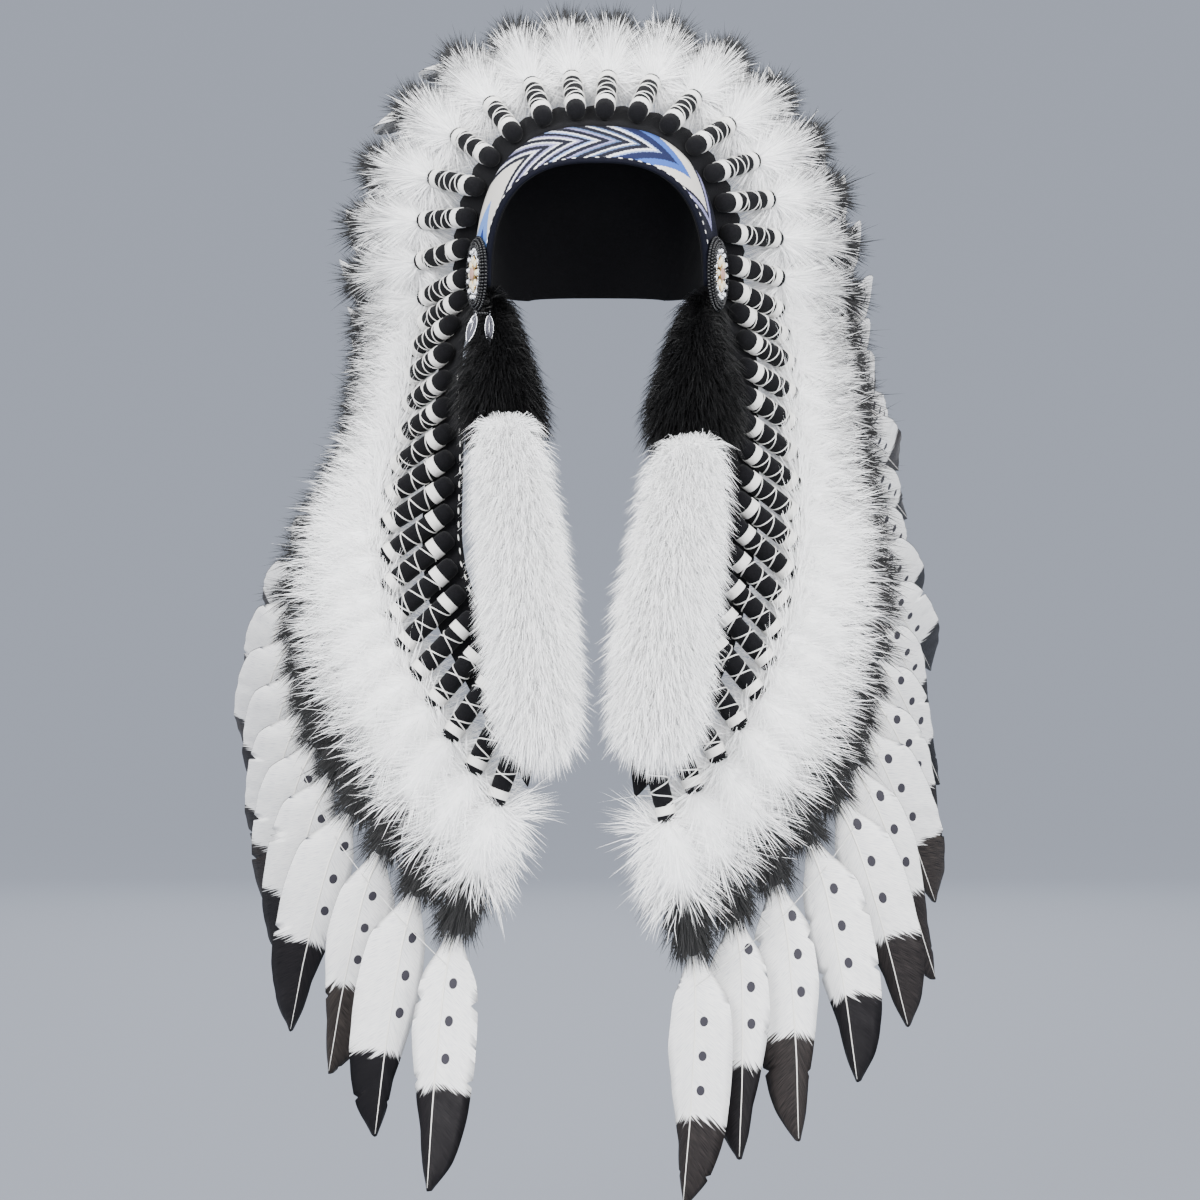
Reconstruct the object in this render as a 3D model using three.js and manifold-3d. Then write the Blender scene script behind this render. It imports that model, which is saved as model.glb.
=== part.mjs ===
import * as THREE from "three";
import Module from "manifold-3d";
import { mergeVertices } from "three/addons/utils/BufferGeometryUtils.js";

// Feathered headdress, in millimetres. X runs across the face, Y from the face to the
// back of the head and Z up. The origin is the crown of the head, inside the cap's top.

// Felt cap
const CAP_HALF_WIDTH = 90;
const CAP_DROP = 129; // from the crown of the head to the lower edge
const CAP_REACH = 98; // from the crown back to the nape
const CAP_SQUARENESS = 2.6; // superellipse power of each arch, 2 is a plain ellipse
const FELT = 2.5;
const CAP_STEPS_ACROSS = 18;
const CAP_STEPS_BACK = 4; // behind the band

// Felt strip under the feathers
const STRIP_WIDTH = 36;
const STRIP_MARGIN = 5; // felt that shows inside the ends of the wraps
const SCALLOP = 7; // how far the felt tabs stand out between two wraps on the crown
const STRIP_END = 0.8; // felt past the last feather, in feather spacings
const FELT_BITE = 0.8; // how deep the strip is sewn into the cap

// Woven headband
const BAND_THICK = 2;
const BAND_SHARE = 0.2; // how far back on the cap the band reaches
const BINDING = 5; // diameter of the rolled edge
const BINDING_BITE = 0.6; // how far the roll is sewn over the band

// Feathers
const LEFT_FEATHERS = 25;
const RIGHT_FEATHERS = 26;
const CROWN_FEATHERS = 9; // of them on each side of the cap, the rest on the trailers
const FIRST_LEFT = 15; // from the middle of the crown to the first feather
const FIRST_RIGHT = 5;
const WRAP_LENGTH = 62;
const WRAP_DIAMETER = 14.4;
const FUR_LENGTH = 88;
const FUR_WIDTH = 46;
const FUR_DEPTH = 50;
const VANE_LENGTH = 190;
const VANE_WIDTH = 48;
const VANE_THICK = 1.6;
const ROW_SET_BACK = 7; // from the band's rear edge to the ends of the wraps
const FEATHER_SIDES = 8;
const UNEVEN = 0.04; // how much longer or shorter than usual a vane may be
const NEIGHBOUR_GAP = 1;

// Trailers that hang from the ears to the chest
const TRAILER_SPREAD = 104;
const TRAILER_DROP = 350;
const TRAILER_FORWARD = 132;

// Rosettes and metal drops
const ROSETTE_DIAMETER = 57;
const ROSETTE_THICK = 8;
const ROSETTE_DROP = 120; // from the crown to the rosette's middle
const ROSETTE_SIDES = 16;
const ROSETTE_LIFT = 3.7; // from the band's face, over its binding
const ROSETTE_BACK = 0.16; // share of the band's width from the face to its middle
const LEAF_LENGTH = 22;
const LEAF_WIDTH = 6;
const LEAF_THICK = 0.9;
const LEAF_SPACING = 10;
const BEAD_DIAMETER = 3.6;
const THREAD = 1.2;

// Fur pieces beside the face
const CHEEK_LENGTH = 116;
const CHEEK_THICK = 36;
const DROP_LENGTH = 250;
const DROP_WIDTH = 66;
const DROP_THICK = 48;
const FUR_SIDES = 12;

const GAP = 0.3; // clearance between pieces that touch

// Arches of the cap from the face to the nape. back and end_back are shares of CAP_REACH at
// the middle and at the ears, down is a share of CAP_DROP and across of CAP_HALF_WIDTH.
const CAP_ARCHES = [
  { at: 0.0, back: -0.76, end_back: -0.35, down: 0.32, across: 0.89 },
  { at: 0.2, back: -0.45, end_back: 0.06, down: 0.11, across: 1.0 },
  { at: 0.4, back: 0.0, end_back: 0.33, down: -0.02, across: 1.0 },
  { at: 0.6, back: 0.52, end_back: 0.6, down: 0.1, across: 0.94 },
  { at: 0.8, back: 0.88, end_back: 0.84, down: 0.43, across: 0.8 },
  { at: 1.0, back: 1.0, end_back: 0.98, down: 0.98, across: 0.6 },
];

// Path of each trailer below the ear: across is a share of TRAILER_SPREAD, forward of
// TRAILER_FORWARD and down of TRAILER_DROP below the cap's lower edge.
const TRAILER_LEFT = [
  { across: 1.0, forward: 0.02, down: 0.11 },
  { across: 0.995, forward: 0.28, down: 0.35 },
  { across: 0.98, forward: 0.57, down: 0.58 },
  { across: 0.88, forward: 0.7, down: 0.67 },
  { across: 0.74, forward: 0.8, down: 0.75 },
  { across: 0.62, forward: 0.89, down: 0.83 },
  { across: 0.49, forward: 0.95, down: 0.9 },
  { across: 0.41, forward: 1.0, down: 0.96 },
];
const TRAILER_RIGHT = [
  { across: 0.975, forward: 0.02, down: 0.11 },
  { across: 0.965, forward: 0.15, down: 0.24 },
  { across: 0.94, forward: 0.34, down: 0.4 },
  { across: 0.865, forward: 0.57, down: 0.565 },
  { across: 0.735, forward: 0.76, down: 0.715 },
  { across: 0.575, forward: 0.87, down: 0.82 },
  { across: 0.39, forward: 0.95, down: 0.915 },
  { across: 0.22, forward: 1.0, down: 0.98 },
];

// How the feathers point, by number from the middle of the crown. swing is the angle out
// from straight up and lean the angle back from the plane of the face, in degrees, for the
// wrap and for the vane's tip. roll turns each vane about its quill, so that it lies over
// the next one like a louvre and shows its flat side to the front on the trailers.
const AIM_LEFT = [
  { at: 0.3, swing: 0, lean: 56, tip_swing: 0, tip_lean: 88, roll: 22 },
  { at: 2, swing: 17, lean: 54, tip_swing: 20, tip_lean: 88, roll: 22 },
  { at: 4, swing: 50, lean: 52, tip_swing: 50, tip_lean: 88, roll: 22 },
  { at: 5, swing: 70, lean: 51, tip_swing: 68, tip_lean: 89, roll: -22 },
  { at: 7, swing: 100, lean: 51, tip_swing: 92, tip_lean: 91, roll: -22 },
  { at: 9, swing: 116, lean: 52, tip_swing: 106, tip_lean: 92, roll: -22 },
  { at: 12, swing: 121, lean: 52, tip_swing: 120, tip_lean: 92, roll: -28 },
  { at: 14, swing: 122, lean: 32, tip_swing: 142, tip_lean: 82, roll: -42 },
  { at: 16, swing: 123, lean: 12, tip_swing: 160, tip_lean: 66, roll: -52 },
  { at: 19, swing: 131, lean: 4, tip_swing: 168, tip_lean: 50, roll: -52 },
  { at: 22, swing: 139, lean: 0, tip_swing: 167, tip_lean: 26, roll: -44 },
  { at: 25, swing: 160, lean: 0, tip_swing: 176, tip_lean: 4, roll: -26 },
  { at: 26, swing: 168, lean: 0, tip_swing: 180, tip_lean: 2, roll: -26 },
];
const AIM_RIGHT = [
  { at: 0.7, swing: 0, lean: 56, tip_swing: 0, tip_lean: 88, roll: 22 },
  { at: 3, swing: 36, lean: 53, tip_swing: 34, tip_lean: 87, roll: 22 },
  { at: 6, swing: 78, lean: 49, tip_swing: 72, tip_lean: 88, roll: 22 },
  { at: 9, swing: 108, lean: 45, tip_swing: 100, tip_lean: 86, roll: 24 },
  { at: 12, swing: 116, lean: 44, tip_swing: 114, tip_lean: 77, roll: 34 },
  { at: 14, swing: 122, lean: 36, tip_swing: 130, tip_lean: 74, roll: 44 },
  { at: 17, swing: 128, lean: 20, tip_swing: 148, tip_lean: 62, roll: 52 },
  { at: 20, swing: 135, lean: 7, tip_swing: 158, tip_lean: 36, roll: 52 },
  { at: 22, swing: 140, lean: 2, tip_swing: 165, tip_lean: 14, roll: 42 },
  { at: 24, swing: 152, lean: 0, tip_swing: 178, tip_lean: 6, roll: 24 },
  { at: 27, swing: 174, lean: 0, tip_swing: 187, tip_lean: 14, roll: 20 },
];

// Sections of one feather. wrap, fur and vane are shares of those three lengths already
// passed, round is a share of the wrap's size, tuft of the fur's and blade of the vane's.
const FEATHER_SECTIONS = [
  { wrap: 0, fur: 0, vane: 0, round: 0.7, tuft: 0, blade: 0 },
  { wrap: 0.07, fur: 0, vane: 0, round: 1, tuft: 0, blade: 0 },
  { wrap: 1, fur: 0, vane: 0, round: 1, tuft: 0, blade: 0 },
  { wrap: 1, fur: 0.2, vane: 0, round: 0, tuft: 0.8, blade: 0 },
  { wrap: 1, fur: 0.5, vane: 0, round: 0, tuft: 1, blade: 0 },
  { wrap: 1, fur: 0.85, vane: 0, round: 0, tuft: 0.8, blade: 0 },
  { wrap: 1, fur: 1, vane: 0.07, round: 0, tuft: 0, blade: 0.3 },
  { wrap: 1, fur: 1, vane: 0.24, round: 0, tuft: 0, blade: 0.92 },
  { wrap: 1, fur: 1, vane: 0.65, round: 0, tuft: 0, blade: 1 },
  { wrap: 1, fur: 1, vane: 0.88, round: 0, tuft: 0, blade: 0.66 },
  { wrap: 1, fur: 1, vane: 1, round: 0, tuft: 0, blade: 0.12 },
];

// Sections of the black fur panel beside each cheek. down is a share of CHEEK_LENGTH, inner
// and outer of TRAILER_SPREAD, forward of TRAILER_FORWARD and thick of CHEEK_THICK.
const CHEEK_LEFT = [
  { down: 0.0, inner: 0.72, outer: 0.84, forward: 0.05, thick: 0.6 },
  { down: 0.14, inner: 0.67, outer: 0.81, forward: 0.13, thick: 0.85 },
  { down: 0.38, inner: 0.57, outer: 0.83, forward: 0.27, thick: 1.0 },
  { down: 0.62, inner: 0.47, outer: 0.93, forward: 0.4, thick: 1.0 },
  { down: 0.88, inner: 0.4, outer: 0.9, forward: 0.48, thick: 0.9 },
  { down: 1.0, inner: 0.52, outer: 0.78, forward: 0.5, thick: 0.5 },
];
const CHEEK_RIGHT = [
  { down: 0.0, inner: 0.72, outer: 0.84, forward: 0.05, thick: 0.6 },
  { down: 0.14, inner: 0.66, outer: 0.81, forward: 0.13, thick: 0.85 },
  { down: 0.38, inner: 0.55, outer: 0.87, forward: 0.27, thick: 1.0 },
  { down: 0.62, inner: 0.45, outer: 0.97, forward: 0.4, thick: 1.0 },
  { down: 0.9, inner: 0.36, outer: 0.97, forward: 0.48, thick: 0.9 },
  { down: 1.1, inner: 0.5, outer: 0.82, forward: 0.52, thick: 0.5 },
];

// Sections of the white fur drop in front of each trailer. down is a share of DROP_LENGTH,
// across of TRAILER_SPREAD to the drop's middle, wide of DROP_WIDTH, forward of
// TRAILER_FORWARD and thick of DROP_THICK.
const WHITE_LEFT = [
  { down: 0.0, across: 0.63, wide: 0.5, forward: 0.725, thick: 0.4 },
  { down: 0.06, across: 0.63, wide: 0.82, forward: 0.7345, thick: 0.8 },
  { down: 0.3, across: 0.56, wide: 0.94, forward: 0.94, thick: 0.95 },
  { down: 0.6, across: 0.46, wide: 1.0, forward: 1.1, thick: 1.0 },
  { down: 0.9, across: 0.4, wide: 0.98, forward: 1.26, thick: 0.95 },
  { down: 1.0, across: 0.39, wide: 0.6, forward: 1.3, thick: 0.5 },
];
const WHITE_RIGHT = [
  { down: 0.06, across: 0.66, wide: 0.5, forward: 0.725, thick: 0.4 },
  { down: 0.13, across: 0.64, wide: 0.95, forward: 0.739, thick: 0.8 },
  { down: 0.35, across: 0.56, wide: 1.05, forward: 0.97, thick: 0.95 },
  { down: 0.6, across: 0.46, wide: 1.12, forward: 1.1, thick: 1.0 },
  { down: 0.9, across: 0.4, wide: 1.08, forward: 1.26, thick: 0.95 },
  { down: 1.0, across: 0.38, wide: 0.7, forward: 1.3, thick: 0.5 },
];

// Rosette from the back to the front: out is a share of its radius, up of its thickness.
const ROSETTE_PROFILE = [
  { out: 0, up: 0 },
  { out: 0.94, up: 0 },
  { out: 1, up: 0.3 },
  { out: 0.86, up: 0.62 },
  { out: 0.46, up: 0.66 },
  { out: 0.3, up: 0.95 },
  { out: 0, up: 1 },
];

const wasm = await Module();
wasm.setup();

function vector(x, y, z) {
  return new THREE.Vector3(x, y, z);
}

// One row of a table at any place between its rows, on a smooth curve through them.
function rowAt(rows, column, place) {
  const last = rows.length - 1;
  let lower = 0;
  while (lower < last - 1 && rows[lower + 1][column] <= place) {
    lower += 1;
  }
  const around = [-1, 0, 1, 2].map((step) => rows[THREE.MathUtils.clamp(lower + step, 0, last)]);
  const [before, here, next, after] = around;
  const width = next[column] - here[column];
  const share = (place - here[column]) / width;
  const result = {};
  for (const name of Object.keys(here)) {
    const leave = (next[name] - before[name]) / (next[column] - before[column]);
    const arrive = (after[name] - here[name]) / (after[column] - here[column]);
    const square = share * share;
    const cube = square * share;
    result[name] =
      here[name] * (2 * cube - 3 * square + 1) +
      next[name] * (3 * square - 2 * cube) +
      leave * width * (cube - 2 * square + share) +
      arrive * width * (cube - square);
  }
  return result;
}

// A closed body from points and triangles, with its faces turned outwards.
function body(points, triangles) {
  let volume = 0;
  for (const [a, b, c] of triangles) {
    volume += points[a].dot(vector().crossVectors(points[b], points[c]));
  }
  const turned = triangles.map(([a, b, c]) => (volume < 0 ? [a, c, b] : [a, b, c]));
  const geometry = new THREE.BufferGeometry();
  const numbers = points.flatMap((point) => point.toArray());
  geometry.setAttribute("position", new THREE.Float32BufferAttribute(numbers, 3));
  geometry.setIndex(turned.flat());
  return geometry;
}

// A body through rings of points, closed at both ends. The diagonals over the second half
// of the rings mirror those of the first, so that a thin twisted blade keeps its thickness.
function loft(rings) {
  const count = rings[0].length;
  const end = (rings.length - 1) * count;
  const triangles = [];
  for (let start = 0; start < end; start += count) {
    for (let side = 0; side < count; side++) {
      const a = start + side;
      const b = start + ((side + 1) % count);
      const c = b + count;
      const d = a + count;
      if (side < count / 2) {
        triangles.push([a, b, c], [a, c, d]);
      } else {
        triangles.push([a, b, d], [b, c, d]);
      }
    }
  }
  for (let side = 1; side < count - 1; side++) {
    triangles.push([0, side + 1, side]);
    triangles.push([end, end + side, end + side + 1]);
  }
  return body(rings.flat(), triangles);
}

// A wall between two grids of points of the same size.
function wall(front, back) {
  const columns = front[0].length;
  const rows = front.length;
  const offset = rows * columns;
  const triangles = [];
  const four = (a, b, c, d) => triangles.push([a, b, c], [a, c, d]);
  for (let row = 0; row < rows - 1; row++) {
    for (let column = 0; column < columns - 1; column++) {
      const a = row * columns + column;
      const b = a + 1;
      const d = a + columns;
      const c = d + 1;
      four(a, b, c, d);
      four(offset + a, offset + d, offset + c, offset + b);
    }
  }
  for (let column = 0; column < columns - 1; column++) {
    const low = column;
    const high = (rows - 1) * columns + column;
    four(low, offset + low, offset + low + 1, low + 1);
    four(high, high + 1, offset + high + 1, offset + high);
  }
  for (let row = 0; row < rows - 1; row++) {
    const left = row * columns;
    const right = left + columns - 1;
    four(left, left + columns, offset + left + columns, offset + left);
    four(right, offset + right, offset + right + columns, right + columns);
  }
  return body([...front.flat(), ...back.flat()], triangles);
}

function toSolid(geometry) {
  const bare = geometry.clone();
  bare.deleteAttribute("normal");
  bare.deleteAttribute("uv");
  const merged = mergeVertices(bare, 0.0001);
  return new wasm.Manifold(
    new wasm.Mesh({
      numProp: 3,
      vertProperties: new Float32Array(merged.attributes.position.array),
      triVerts: new Uint32Array(merged.index.array),
    }),
  );
}

function join(geometries) {
  const solid = geometries.map(toSolid).reduce((whole, piece) => whole.add(piece));
  const mesh = solid.getMesh();
  const geometry = new THREE.BufferGeometry();
  geometry.setAttribute("position", new THREE.BufferAttribute(mesh.vertProperties, 3));
  geometry.setIndex(new THREE.BufferAttribute(mesh.triVerts, 1));
  return geometry;
}

// A point of the cap's outer face: turn runs from -1 at the left ear to 1 at the right ear
// and back from 0 at the face to 1 at the nape.
function capPoint(turn, back) {
  const arch = rowAt(CAP_ARCHES, "at", back);
  const angle = (turn * Math.PI) / 2;
  const side = Math.abs(Math.sin(angle)) ** (2 / CAP_SQUARENESS) * Math.sign(turn);
  const rise = Math.max(Math.cos(angle), 0) ** (2 / CAP_SQUARENESS);
  const top = -arch.down * CAP_DROP;
  const depth = arch.back + (arch.end_back - arch.back) * (1 - rise);
  return vector(
    arch.across * CAP_HALF_WIDTH * side,
    depth * CAP_REACH,
    -CAP_DROP + (top + CAP_DROP) * rise,
  );
}

// The direction away from the head at a point of the cap.
function capNormal(turn, back) {
  const step = 0.01;
  const inside = THREE.MathUtils.clamp(turn, step - 1, 1 - step);
  const along = capPoint(inside + step, back).sub(capPoint(inside - step, back));
  const behind = Math.min(back + step, 1);
  const ahead = Math.max(back - step, 0);
  const across = capPoint(inside, behind).sub(capPoint(inside, ahead));
  return along.cross(across).normalize();
}

// The cap's face moved out by some distance.
function overCap(turn, back, out) {
  return capPoint(turn, back).addScaledVector(capNormal(turn, back), out);
}

function steps(count, from, to) {
  return Array.from({ length: count + 1 }, (_, step) => from + ((to - from) * step) / count);
}

// A grid of points over the cap, moved out by some distance
function capGrid(backs, out) {
  return backs.map((back) => {
    return steps(CAP_STEPS_ACROSS, -1, 1).map((turn) => overCap(turn, back, out));
  });
}

// Felt cap without its strip
function capShell() {
  const backs = [...steps(2, 0, BAND_SHARE), ...steps(CAP_STEPS_BACK, BAND_SHARE, 1).slice(1)];
  return wall(capGrid(backs, 0), capGrid(backs, -FELT));
}

// The line that the wraps stand on, from the middle of the crown down one trailer.
function rowLine(side) {
  const rowBack = BAND_SHARE + (ROW_SET_BACK / CAP_REACH) * 0.5;
  const points = steps(10, 0, 1).map((turn) => {
    return overCap(Math.max(turn, 0.001) * side, rowBack, FELT - FELT_BITE);
  });
  points[0].x = 0;
  for (const place of side < 0 ? TRAILER_LEFT : TRAILER_RIGHT) {
    points.push(
      vector(
        side * place.across * TRAILER_SPREAD,
        -place.forward * TRAILER_FORWARD,
        -CAP_DROP - place.down * TRAILER_DROP,
      ),
    );
  }
  return new THREE.CatmullRomCurve3(points, false, "centripetal");
}

function direction(side, swing, lean) {
  const out = THREE.MathUtils.degToRad(swing);
  const back = THREE.MathUtils.degToRad(lean);
  return vector(
    side * Math.sin(out) * Math.cos(back),
    Math.sin(back),
    Math.cos(out) * Math.cos(back),
  );
}

// One side's row of feathers: how many, how they point, and their even spacing on its line
function halfRow(side, count, first, aim) {
  const line = rowLine(side);
  const spacing = (line.getLength() - first) / (count - 1 + STRIP_END);
  return { side, count, first, aim, line, spacing, middle: 1 - first / spacing };
}

const leftHalf = halfRow(-1, LEFT_FEATHERS, FIRST_LEFT, AIM_LEFT);
const rightHalf = halfRow(1, RIGHT_FEATHERS, FIRST_RIGHT, AIM_RIGHT);

// Where feather number on one side stands: a point on the felt, the way its wrap and its
// tip point, and the direction away from the felt.
function stand(half, number) {
  const passed = half.first + (number - 1) * half.spacing;
  const along = THREE.MathUtils.clamp(passed / half.line.getLength(), 0, 1);
  const aim = rowAt(half.aim, "at", number);
  const wrap = direction(half.side, aim.swing, aim.lean);
  const run = half.line.getTangentAt(along).multiplyScalar(half.side);
  return {
    foot: half.line.getPointAt(along),
    aim,
    side: half.side,
    wrap,
    away: vector().crossVectors(run, wrap).normalize(),
  };
}

// Felt strip under the wraps, from one trailer's end over the crown to the other's. On
// the crown its outer edge stands up in a tab between each two wraps.
function feltStrip() {
  const stations = (half) => {
    const numbers = [half.middle];
    for (let number = 1; number < CROWN_FEATHERS; number += 1) {
      numbers.push(number, number + 0.5);
    }
    for (let number = CROWN_FEATHERS; number <= half.count; number += 1) {
      numbers.push(number);
    }
    numbers.push(half.count + STRIP_END);
    return numbers.map((number) => ({ number, half }));
  };
  const left = stations(leftHalf).reverse();
  const right = stations(rightHalf).slice(1);
  const front = [];
  const back = [];
  for (const { number, half } of [...left, ...right]) {
    const place = stand(half, number);
    const notch = number < CROWN_FEATHERS && number % 1 === 0 ? SCALLOP : 0;
    const reach = STRIP_WIDTH - STRIP_MARGIN - notch;
    const inner = place.foot.clone().addScaledVector(place.wrap, -STRIP_MARGIN);
    const outer = place.foot.clone().addScaledVector(place.wrap, reach);
    front.push([inner, outer]);
    back.push([inner, outer].map((point) => point.clone().addScaledVector(place.away, -FELT)));
  }
  return wall(front, back);
}

// Woven band over the front of the cap, with a rolled binding along the face
function headband() {
  const backs = steps(2, 0, BAND_SHARE);
  const rings = steps(CAP_STEPS_ACROSS, -1, 1).map((turn) => {
    const middle = overCap(turn, 0, GAP + BAND_THICK / 2);
    const out = capNormal(turn, 0);
    const inward = capPoint(turn, 0).sub(capPoint(turn, BAND_SHARE / 2)).normalize();
    return steps(5, 0, (Math.PI * 5) / 3).map((angle) =>
      middle
        .clone()
        .addScaledVector(inward, (Math.cos(angle) + 1) * (BINDING / 2) - BINDING_BITE)
        .addScaledVector(out, Math.sin(angle) * (BINDING / 2)),
    );
  });
  return join([wall(capGrid(backs, GAP), capGrid(backs, GAP + BAND_THICK)), loft(rings)]);
}

function ring(middle, across, deep, count) {
  return Array.from({ length: count }, (_, corner) => {
    const angle = (corner / count) * Math.PI * 2;
    return middle
      .clone()
      .addScaledVector(across, Math.cos(angle))
      .addScaledVector(deep, Math.sin(angle));
  });
}

// Middle line of one feather: straight in the wrap, then turning to the tip's direction
function featherLine(place, scale) {
  const lift = WRAP_DIAMETER / 2 + GAP;
  const start = place.foot.clone().addScaledVector(place.away, lift);
  const total = WRAP_LENGTH + FUR_LENGTH + VANE_LENGTH * scale;
  const turnLength = (total - WRAP_LENGTH) * 0.75;
  const pieces = 60;
  const points = [start];
  const ways = [place.wrap];
  for (let piece = 1; piece <= pieces; piece++) {
    const passed = ((piece - 0.5) / pieces) * total;
    const share = THREE.MathUtils.smoothstep(passed - WRAP_LENGTH, 0, turnLength);
    const swing = THREE.MathUtils.lerp(place.aim.swing, place.aim.tip_swing, share);
    const lean = THREE.MathUtils.lerp(place.aim.lean, place.aim.tip_lean, share);
    const way = direction(place.side, swing, lean);
    points.push(points[piece - 1].clone().addScaledVector(way, total / pieces));
    ways.push(way);
  }
  return FEATHER_SECTIONS.map((section) => {
    const passed =
      section.wrap * WRAP_LENGTH + section.fur * FUR_LENGTH + section.vane * VANE_LENGTH * scale;
    const exact = (passed / total) * pieces;
    const index = Math.min(Math.floor(exact), pieces - 1);
    return {
      section,
      middle: points[index].clone().lerp(points[index + 1], exact - index),
      way: ways[index].clone().lerp(ways[index + 1], exact - index).normalize(),
    };
  });
}

// The whole row of feathers, from the left trailer's end to the right one's
function featherRow() {
  const row = [];
  const add = (name, half, number) => {
    const scale = 1 + UNEVEN * Math.sin(number * 2.4 + half.side);
    const place = stand(half, number);
    row.push({
      name: "feather_" + name + "_" + String(number).padStart(2, "0"),
      line: featherLine(place, scale),
      roll: place.aim.roll,
    });
  };
  for (let number = leftHalf.count; number >= 1; number--) {
    add("left", leftHalf, number);
  }
  for (let number = 1; number <= rightHalf.count; number++) {
    add("right", rightHalf, number);
  }
  return row;
}

// One feather: each section keeps to its own share of the room between its neighbours
// until the vane, which is thin and rolled so that it lies over the next one.
function feather(row, place) {
  const line = row[place].line;
  const rings = line.map(({ section, middle, way }, index) => {
    const toward = (step) => {
      const neighbour = row[place + step];
      if (!neighbour) {
        return null;
      }
      const gap = neighbour.line[index].middle.clone().sub(middle);
      return gap.addScaledVector(way, -gap.dot(way));
    };
    const next = toward(1) ?? toward(-1).negate();
    const last = toward(-1) ?? toward(1).negate();
    const across = next.clone().sub(last);
    across.addScaledVector(way, -across.dot(way)).normalize();
    const deep = vector().crossVectors(way, across).normalize();
    const room = Math.min(next.length(), last.length()) / 2 - NEIGHBOUR_GAP / 2;
    const wrapRadius = WRAP_DIAMETER / 2;
    let halfWidth = section.round * Math.min(wrapRadius, room);
    let halfDepth = section.round * wrapRadius;
    let roll = 0;
    if (section.tuft > 0) {
      halfWidth = Math.min((section.tuft * FUR_WIDTH) / 2, room);
      halfDepth = (section.tuft * FUR_DEPTH) / 2;
    }
    if (section.blade > 0) {
      halfWidth = (section.blade * VANE_WIDTH) / 2;
      halfDepth = VANE_THICK / 2;
      roll = THREE.MathUtils.degToRad(row[place].roll);
    }
    const wide = across.clone().applyAxisAngle(way, roll).multiplyScalar(halfWidth);
    const thick = deep.clone().applyAxisAngle(way, roll).multiplyScalar(halfDepth);
    return ring(middle, wide, thick, FEATHER_SIDES);
  });
  return loft(rings);
}

// Black fur panel beside the cheek
function cheekFur(side, rows) {
  const rings = rows.map((row) => {
    const middle = (row.inner + row.outer) / 2;
    const half = ((row.outer - row.inner) / 2) * TRAILER_SPREAD;
    const place = vector(
      side * middle * TRAILER_SPREAD,
      -row.forward * TRAILER_FORWARD,
      -CAP_DROP - GAP - row.down * CHEEK_LENGTH,
    );
    return ring(place, vector(half, 0, 0), vector(0, (row.thick * CHEEK_THICK) / 2, 0), FUR_SIDES);
  });
  return loft(rings);
}

// White fur drop that hangs from the black panel over the chest
function whiteFur(side, rows) {
  const top = CAP_DROP + CHEEK_LENGTH * 0.8;
  const rings = rows.map((row) => {
    const place = vector(
      side * row.across * TRAILER_SPREAD,
      -row.forward * TRAILER_FORWARD,
      -top - row.down * DROP_LENGTH,
    );
    const wide = vector((row.wide * DROP_WIDTH) / 2, 0, 0);
    return ring(place, wide, vector(0, (row.thick * DROP_THICK) / 2, 0), FUR_SIDES);
  });
  return loft(rings);
}

// Where a rosette's middle sits: on the band's end, and the way it faces
function rosettePlace(side) {
  const back = BAND_SHARE * ROSETTE_BACK;
  const turn = side * 0.95;
  const out = capNormal(turn, back);
  out.z = 0;
  out.normalize();
  const end = capPoint(side, back);
  end.z = -ROSETTE_DROP;
  return { middle: end.addScaledVector(out, BAND_THICK + ROSETTE_LIFT), out };
}

function rosette(side) {
  const outline = ROSETTE_PROFILE.map(
    ({ out, up }) => new THREE.Vector2((out * ROSETTE_DIAMETER) / 2, up * ROSETTE_THICK),
  );
  const geometry = mergeVertices(bareGeometry(new THREE.LatheGeometry(outline, ROSETTE_SIDES)));
  const { middle, out } = rosettePlace(side);
  const turn = new THREE.Quaternion().setFromUnitVectors(vector(0, 1, 0), out);
  geometry.applyQuaternion(turn);
  geometry.translate(middle.x, middle.y, middle.z);
  return geometry;
}

function bareGeometry(geometry) {
  geometry.deleteAttribute("normal");
  geometry.deleteAttribute("uv");
  return geometry;
}

// Two metal leaves under a rosette, each below a bead, on one short thread
function metalDrops(side) {
  const { middle, out } = rosettePlace(side);
  const along = vector(-out.y, out.x, 0);
  const bottom = middle.clone().addScaledVector(out, ROSETTE_THICK * 0.3);
  bottom.z -= ROSETTE_DIAMETER / 2 + GAP + BEAD_DIAMETER / 2;
  const pieces = [];
  for (const place of [-0.5, 0.5]) {
    const bead = bottom.clone().addScaledVector(along, place * LEAF_SPACING);
    bead.z += 0.25 * BEAD_DIAMETER;
    const ball = new THREE.SphereGeometry(BEAD_DIAMETER / 2, 8, 5);
    ball.translate(bead.x, bead.y, bead.z);
    const leafRings = [
      { down: 0, wide: 0.2 },
      { down: 0.25, wide: 0.75 },
      { down: 0.5, wide: 1 },
      { down: 0.8, wide: 0.8 },
      { down: 1, wide: 0.15 },
    ].map((row) => {
      const point = bead.clone();
      point.z -= BEAD_DIAMETER * 0.4 + row.down * LEAF_LENGTH;
      const wide = along.clone().multiplyScalar((row.wide * LEAF_WIDTH) / 2);
      return ring(point, wide, out.clone().multiplyScalar(LEAF_THICK / 2), 6);
    });
    pieces.push(ball, loft(leafRings));
  }
  const threadEnds = [-0.5, 0.5].map((place) => {
    const point = bottom.clone().addScaledVector(along, place * LEAF_SPACING);
    const round = THREAD / 2;
    return ring(point, out.clone().multiplyScalar(round), vector(0, 0, round), 6);
  });
  pieces.push(loft(threadEnds));
  return join(pieces);
}

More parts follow.
